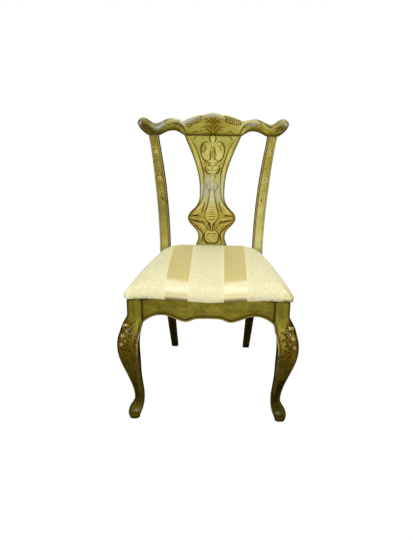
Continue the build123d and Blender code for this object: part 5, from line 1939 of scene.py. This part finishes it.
    def build(self, paint: Material) -> None:
        """Makes the apron, the side rails, the rear rail and the shoe."""
        self.apron().to_object("front_seat_rail_beaded", paint, "front_seat_rail", 0.8)
        for name, sign in (("side_seat_rail_right", 1.0), ("side_seat_rail_left", -1.0)):
            low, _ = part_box(name)
            front = np.array([sign * self.side_outer, low.y + self.clear])
            at_post = sign * (self.post_x + self.post_wide / 2 - self.rail_in)
            rear = np.array([at_post, self.lines.y_seat - self.rail_ahead])
            rail = self.plank(front, rear, self.side_thick, self.side_arch, self.side_deep)
            rail.to_object(f"{name}_eased", paint, name)
        low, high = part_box("rear_seat_rail")
        ends = np.array([(low.x + self.clear, high.y), (high.x - self.clear, high.y)])
        rear = self.plank(*ends, high.y - low.y, high.z - low.z, high.z - low.z)
        for name, skin in (("rear_seat_rail", rear), ("splat_shoe", self.shoe())):
            skin.to_object(f"{name}_eased", paint, name)

    def shoe(self) -> Skin:
        low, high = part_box("splat_shoe")
        share = np.array([0.0, 0.03, 0.30, 0.50, 0.58, 0.66, 0.80, 0.97, 1.0])
        inset = np.array([0.6, 0.0, 0.0, 0.0, 2.6, 3.0, 4.4, 6.0, 6.8]) * MM
        wide, deep = (high.x - low.x) / 2 - inset, (high.y - low.y) / 2 - inset * 0.5
        section = rounded_section(wide, deep, np.full(len(share), 0.002), 24, 3)
        z = low.z + (high.z - low.z) * share[:, None] * np.ones(section.shape[1])
        skin = Skin(np.stack([section[..., 0], (low.y + high.y) / 2 + section[..., 1], z], axis=-1))
        glaze, rub = 0.5 * bell(share[:, None], 0.55, 0.06), 0.3 * bell(share[:, None], 0.45, 0.05)
        skin.marks = marked(np.full_like(z, 0.40), glaze, rub, 0.3, 0.2)
        return skin


# ---- seat -----------------------------------------------------------------
@dataclass
class Cushion:
    """Upholstered seat: a crowned form swelled by air pressure, with gathered front corners."""

    lines: Lines
    apron: SeatFrame
    proud: float = 0.006
    front_half: float = 0.287
    rear_half: float = 0.196
    rear_gap: float = 0.0180
    bow: float = 0.009
    front_corner: float = 0.024
    rear_corner: float = 0.034
    crown: float = 0.052
    board_top: float = 0.0136
    flat: float = 0.45
    waist: float = 0.20
    rise_power: float = 1.1
    level_power: float = 0.55
    voxel: float = 0.0056
    pressure: float = 3.0
    frames: int = 20
    cap: float = 0.0032
    shrink: float = 0.0012
    gap: float = 0.0004
    tucked: float = 0.004
    hem_width: float = 0.030

    def inside(self, x: Array, forward: Array) -> Array:
        """Signed distance to the seat's outline, below zero inside.

        The outline is where three edges meet: front, side and rear. Two edges
        are joined by a round corner: the radius is added to both, the length of
        what is above zero is taken, and the radius is taken off again.

        Args:
            x: Across.
            forward: Distance ahead of the posts' plane.

        Returns:
            Distances.
        """
        rear, front = self.rear_gap, self.apron.front_face + self.proud - self.apron.end
        share = np.clip((forward - rear) / (front - rear), 0.0, 1.0)
        bulge = 4 * self.bow * share * (1 - share)
        half = self.rear_half + (self.front_half - self.rear_half) * share + bulge
        lean = np.cos(np.arctan((self.front_half - self.rear_half) / (front - rear)))
        to_side = (np.abs(x) - half) * lean
        to_front = forward - self.apron.serpentine(x, self.front_half, self.proud)
        to_rear = rear - forward
        corner = self.joined(to_front, to_side, self.front_corner)
        return np.maximum(corner, self.joined(to_rear, to_side, self.rear_corner))

    def joined(self, first: Array, second: Array, radius: float) -> Array:
        """Two edges joined by a round corner."""
        a, b = np.maximum(first + radius, 0.0), np.maximum(second + radius, 0.0)
        return np.minimum(np.maximum(first, second), -radius) + np.hypot(a, b)

    def radius(self, turn: Array) -> Array:
        """Distance from the seat's middle to its outline in each direction, by halving."""
        middle = (self.apron.front_face + self.rear_gap) / 2
        low, high = np.full_like(turn, 0.05), np.full_like(turn, 0.50)
        for _ in range(30):
            guess = (low + high) / 2
            out = self.inside(guess * np.cos(turn), middle + guess * np.sin(turn)) > 0
            high, low = np.where(out, guess, high), np.where(out, low, guess)
        return (low + high) / 2

    def form(self) -> Skin:
        """Closed crowned form: the outline, drawn in towards the posts' plane as it rises.

        Above the widest section the edge follows a quarter of a squarish
        ellipse: the size falls with a power of the cosine while the height
        rises with the sine.
        """
        turn = np.linspace(0.0, TURN, 241)[:-1]
        radius = self.radius(turn)
        middle = (self.apron.front_face + self.rear_gap) / 2
        x, forward = radius * np.cos(turn), middle + radius * np.sin(turn)
        quarter = np.linspace(0.0, np.pi / 2, 26)
        level = self.flat + (1 - self.flat) * np.cos(quarter) ** self.level_power
        size = np.concatenate([[0.972, 0.991], level])
        swell = self.waist + (1 - self.waist) * np.sin(quarter) ** self.rise_power
        rise = np.concatenate([[-0.12, self.waist / 2], swell])
        size = size[:, None] * (1 - self.shrink / self.front_half)
        z = self.lines.rail_top + self.gap + rise[:, None] * (self.crown - self.shrink) * np.ones_like(x)
        return Skin(np.stack([x * size, self.lines.y_seat - forward * size, z], axis=-1))

    def simulated(self, material: Material) -> Thing:
        """Remeshes the form, swells it with cloth pressure and applies the result.

        Args:
            material: The cover's cloth.

        Returns:
            The swelled cushion.
        """
        cushion = self.form().to_object("seat_cushion", material, crisp=3.0, slot=CLOTH)
        remesh = cushion.modifiers.new("even", "REMESH")
        remesh.mode = "VOXEL"
        remesh.voxel_size = self.voxel
        remesh.use_smooth_shade = True
        self.apply(cushion)
        start = self.coordinates(cushion)
        start[:, 2] = np.maximum(start[:, 2], self.lines.rail_top + self.gap)
        self.move(cushion, start)
        cushion.vertex_groups.new(name="held")
        low = self.lines.rail_top + self.board_top + self.tucked
        cushion.vertex_groups["held"].add(np.flatnonzero(start[:, 2] < low).tolist(), 1.0, "ADD")
        cloth = cushion.modifiers.new("swell", "CLOTH")
        for key, value in (
            ("quality", 6), ("use_pressure", True), ("uniform_pressure_force", self.pressure),
            ("vertex_group_mass", "held"), ("tension_stiffness", 20.0), ("compression_stiffness", 20.0),
        ):
            setattr(cloth.settings, key, value)
        cloth.settings.effector_weights.gravity = 0.0
        cloth.collision_settings.use_self_collision = False
        cloth.point_cache.frame_start = 1
        cloth.point_cache.frame_end = self.frames
        for number in range(1, self.frames + 1):
            bpy.context.scene.frame_set(number)
        self.apply(cushion)
        moved = self.coordinates(cushion) - start
        length = np.linalg.norm(moved, axis=1, keepdims=True)
        self.move(cushion, start + moved / (1.0 + length / self.cap))
        bpy.context.scene.frame_set(1)
        return cushion

    def apply(self, thing: Thing) -> None:
        """Turns a piece's modifiers into its mesh."""
        graph = bpy.context.evaluated_depsgraph_get()
        graph.update()
        mesh = bpy.data.meshes.new_from_object(thing.evaluated_get(graph), depsgraph=graph)
        old = thing.data
        thing.modifiers.clear()
        thing.data = mesh
        bpy.data.meshes.remove(old)

    def coordinates(self, thing: Thing) -> Array:
        """Points of a piece's mesh."""
        values = np.empty(len(thing.data.vertices) * 3, np.float32)
        thing.data.vertices.foreach_get("co", values)
        return values.reshape(-1, 3).astype(float)

    def move(self, thing: Thing, points: Array) -> None:
        """Puts new points into a piece's mesh."""
        thing.data.vertices.foreach_set("co", np.ascontiguousarray(points, np.float32).ravel())
        thing.data.update()

    def gathers(self, points: Array) -> Array:
        """Folds where the cover is drawn round its front corners, and soft puckers along its hem.

        Args:
            points: Points of the cushion.

        Returns:
            The points, moved in and out across the edge.
        """
        middle = self.lines.y_seat - (self.apron.front_face + self.rear_gap) / 2
        away = points[:, :2] - np.array([0.0, middle])
        turn = np.arctan2(-away[:, 1], np.abs(away[:, 0]))
        outwards = unit(away)
        rise = (points[:, 2] - self.lines.rail_top) / self.crown
        low = ease((0.62 - rise) / 0.5) * ease((rise + 0.05) / 0.1)
        corner = bell(turn, 0.72, 0.16)
        folds = np.sin(turn * 95.0) * corner * low * 0.0016
        hem = np.sin(turn * 160.0 + 2.0 * np.sin(turn * 23.0)) * ease((0.22 - rise) / 0.2) * 0.0004
        shifted = points.copy()
        shifted[:, :2] += outwards * (folds + hem)[:, None]
        inset = self.inside(points[:, 0], self.lines.y_seat - points[:, 1])
        lip = ease((inset + 0.0105) / 0.004) * ease((0.24 - rise) / 0.22)
        edge = -0.0026 + 0.0022 * ease((0.1 - turn) / 0.3)
        shifted[:, :2] += outwards * (lip * (1 - 0.75 * corner) * np.clip(edge - inset, 0.0, None))[:, None]
        lip = lip * ease((turn + 0.6) / 0.3)
        drop = 0.0060 + 0.0055 * points[:, 0] + 0.0006 * np.sin(points[:, 0] * 95.0 + 1.0)
        shifted[:, 2] -= lip * (1 - 0.35 * corner) * drop
        return shifted

    def board_recess(self, points: Array) -> Array:
        """Lifts the underside inside the hem to the top of the board that it is drawn over."""
        forward = self.lines.y_seat - points[:, 1]
        inside = self.inside(points[:, 0], forward) < -self.hem_width
        under = points[:, 2] < self.lines.rail_top + self.tucked
        lifted = points.copy()
        lifted[inside & under, 2] = self.lines.rail_top + self.board_top + 0.0005
        return lifted

    def mapped(self, cushion: Thing) -> None:
        """Gives the cloth its map: metres across and along, walked over the crown and down the sides.

        Across is the distance from the centre line plus, on the sides, the drop
        below the crown; along is the distance forward plus the drop in front.
        """
        mesh = cushion.data
        points = self.coordinates(cushion)
        normals = np.empty(len(points) * 3, np.float32)
        mesh.vertex_normals.foreach_get("vector", normals)
        normals = normals.reshape(-1, 3)
        drop = np.clip(self.lines.rail_top + self.crown - points[:, 2], 0.0, None)
        sideways = ease((np.abs(normals[:, 0]) - 0.35) / 0.5)
        frontal = ease((np.abs(normals[:, 1]) - 0.35) / 0.5)
        across = points[:, 0] + np.sign(points[:, 0]) * drop * sideways
        along = points[:, 1] - drop * frontal * np.sign(-normals[:, 1])
        corners = np.empty(len(mesh.loops), np.int32)
        mesh.loops.foreach_get("vertex_index", corners)
        layer = mesh.uv_layers.new(name="cloth")
        flat = np.stack([across[corners], along[corners]], axis=-1)
        layer.data.foreach_set("uv", flat.astype(np.float32).ravel())

    def build(self, material: Material) -> None:
        """Makes the cushion, which stands for the cover and the foam."""
        cushion = self.simulated(material)
        smooth = cushion.modifiers.new("fine", "SUBSURF")
        smooth.levels = 1
        smooth.render_levels = 1
        self.apply(cushion)
        self.move(cushion, self.board_recess(self.gathers(self.coordinates(cushion))))
        self.mapped(cushion)
        cushion.data.polygons.foreach_set("use_smooth", np.ones(len(cushion.data.polygons), bool))
        if not cushion.data.materials:
            cushion.data.materials.append(material)
        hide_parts("seat_cover", "seat_foam")
        LOG.info("seat_cushion: %d points", len(cushion.data.vertices))


# ---- studio ---------------------------------------------------------------
@dataclass
class Studio:
    """Floor, soft lights and the camera."""

    lines: Lines
    eye: Triple = (0.0398, -2.3836, 1.2934)
    yaw: float = -1.388
    pitch: float = 20.9
    roll: float = 0.532
    lens: float = 42.67
    sensor: float = 36.0
    reach: float = 50.0
    target: Triple = (0.0, 0.0, 0.5)
    floor_half: float = 30.0
    floor_grey: Triple = (0.86, 0.86, 0.86)
    sky: float = 0.50
    veil: float = 1.03
    veil_share: float = 0.95
    # name, place, size and watts
    lamps: tuple[tuple[str, Triple, float, float], ...] = (
        ("key", (0.6, -2.1, 2.7), 1.5, 48.0), ("top", (0.0, 0.62, 2.3), 1.35, 26.0),
        ("fill", (-1.3, -2.7, 1.2), 1.8, 26.0), ("rim", (0.3, 2.4, 2.4), 1.8, 8.0),
    )

    def stand(self, data: bpy.types.ID, axes: tuple[Array, Array, Array], place: Array) -> Thing:
        """Puts a camera or a lamp into the scene.

        Args:
            data: The camera or lamp; the object takes its name.
            axes: Its right, its up and the way behind it.
            place: Where it stands.

        Returns:
            The object.
        """
        thing = bpy.data.objects.new(data.name, data)
        bpy.context.scene.collection.objects.link(thing)
        matrix = Matrix.Identity(4)
        for row in range(3):
            matrix[row] = (axes[0][row], axes[1][row], axes[2][row], place[row])
        thing.matrix_world = matrix
        return thing

    def camera(self) -> None:
        """Camera looking along a yaw and a pitch, rolled about its own axis."""
        yaw, pitch, roll = (np.radians(v) for v in (self.yaw, self.pitch, self.roll))
        ahead = np.array([np.sin(yaw) * np.cos(pitch), np.cos(yaw) * np.cos(pitch), -np.sin(pitch)])
        right = np.array([np.cos(yaw), -np.sin(yaw), 0.0])
        up = np.cross(right, ahead)
        right, up = np.cos(roll) * right + np.sin(roll) * up, np.cos(roll) * up - np.sin(roll) * right
        data = bpy.data.cameras.new("camera")
        data.lens, data.sensor_width, data.clip_end = self.lens, self.sensor, self.reach
        place = np.array(self.eye) + np.array([0.0, self.lines.y_seat, 0.0])
        bpy.context.scene.camera = self.stand(data, (right, up, -ahead), place)

    def softbox(self, name: str, place: Triple, size: float, watts: float) -> None:
        """Square area light that faces the seat."""
        data = bpy.data.lights.new(name, "AREA")
        data.size, data.energy = size, watts
        back = unit(np.array(place) - np.array(self.target))
        side = unit(np.cross([0.0, 0.0, 1.0], back))
        self.stand(data, (side, np.cross(back, side), back), place)

    def seen(self, graph: Graph) -> Socket:
        """1 for rays that show the background: straight to the camera, mirrored or through glass."""
        rays = graph.add("LightPath").outputs
        total = graph.math("MAXIMUM", rays["Is Camera Ray"], rays["Is Glossy Ray"])
        return graph.math("MAXIMUM", total, rays["Is Transmission Ray"])

    def world(self) -> None:
        """White where it is seen and a soft grey sky for light."""
        world = bpy.data.worlds.new("studio")
        bpy.context.scene.world = world
        graph = Graph("studio", world)
        strength = graph.add("MapRange", None, self.seen(graph), 0.0, 1.0, self.sky, 1.0).outputs[0]
        graph.finish(Color=(1.0, 1.0, 1.0), Strength=strength)

    def floor(self) -> None:
        """Pale floor that keeps the chair's shadow under a veil of white where it is seen."""
        size = self.floor_half
        corners = [(-size, -size, 0.0), (size, -size, 0.0), (size, size, 0.0), (-size, size, 0.0)]
        mesh = bpy.data.meshes.new("floor")
        mesh.from_pydata(corners, [], [(0, 1, 2, 3)])
        graph = Graph("studio_floor")
        veil = graph.add("Emission", Strength=self.veil).outputs[0]
        share = graph.math("MULTIPLY", self.seen(graph), self.veil_share)
        mix = graph.add("MixShader", None, share, graph.shader.outputs[0], veil)
        graph.feed(graph.nodes["Material Output"].inputs[0], mix.outputs[0])
        mesh.materials.append(graph.finish(Base_Color=self.floor_grey, Roughness=0.9, Specular_IOR_Level=0.1))
        floor = bpy.data.objects.new("floor", mesh)
        bpy.context.scene.collection.objects.link(floor)

    def build(self) -> None:
        """Sets the whole studio up."""
        bpy.context.scene.view_settings.view_transform = "Standard"
        self.camera()
        self.world()
        self.floor()
        for lamp in self.lamps:
            self.softbox(*lamp)


@dataclass
class Hardware:
    """Finishes for the pieces that keep their own solids."""

    nodes: dict[str, Thing]

    def dress(self, material: Material, *starts: str) -> None:
        """Gives a finish to every node whose name starts with one of the words."""
        for name, node in self.nodes.items():
            if name.startswith(starts):
                node.data.materials.clear()
                node.data.materials.append(material)

    def build(self) -> None:
        """Dresses blocks, dowels, board, screws, glides and cloths."""
        hardwood = PlainWood("bare_hardwood", (0.42, 0.27, 0.13), (0.25, 0.14, 0.055)).material()
        birch = PlainWood("dowel_birch", (0.62, 0.45, 0.25), (0.46, 0.30, 0.15)).material()
        board = PlainWood("plywood", (0.55, 0.38, 0.20), (0.40, 0.25, 0.12), (9.0, 90.0, 400.0)).material()
        self.dress(hardwood, "corner_block_front", "corner_block_rear")
        self.dress(birch, "crest_dowels", "front_rail_dowels", "rear_rail_dowels", "side_rail_")
        self.dress(board, "seat_board")
        self.dress(PlatedSteel().material(), "corner_block_screws", "seat_screws")
        self.dress(MouldedNylon().material(), "foot_glide")
        self.dress(CutFoam().material(), "seat_foam")
        self.dress(Cambric().material(), "dust_cover")


def main() -> None:
    """Builds the chair's sub-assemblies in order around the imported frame."""
    logging.basicConfig(level=logging.INFO, format="%(message)s")
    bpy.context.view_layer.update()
    lines = Lines.of_frame()
    studio = Studio(lines)
    studio.build()
    paint = AntiquedPaint().material()
    rail_paint = AntiquedPaint("antiqued_green_paint_rails", (9.0, 70.0, 70.0)).material()
    flowers = FlowerPaint().material()
    FrontLeg(lines).build(paint, flowers)
    RearPost(lines).build(paint, flowers)
    Splat(lines).build(paint)
    Crest(lines).build(rail_paint)
    seat_frame = SeatFrame(lines)
    seat_frame.build(rail_paint)
    Cushion(lines, seat_frame).build(StripedDamask().material())
    Hardware(frame["nodes"]).build()


if __name__ == "__main__":
    main()
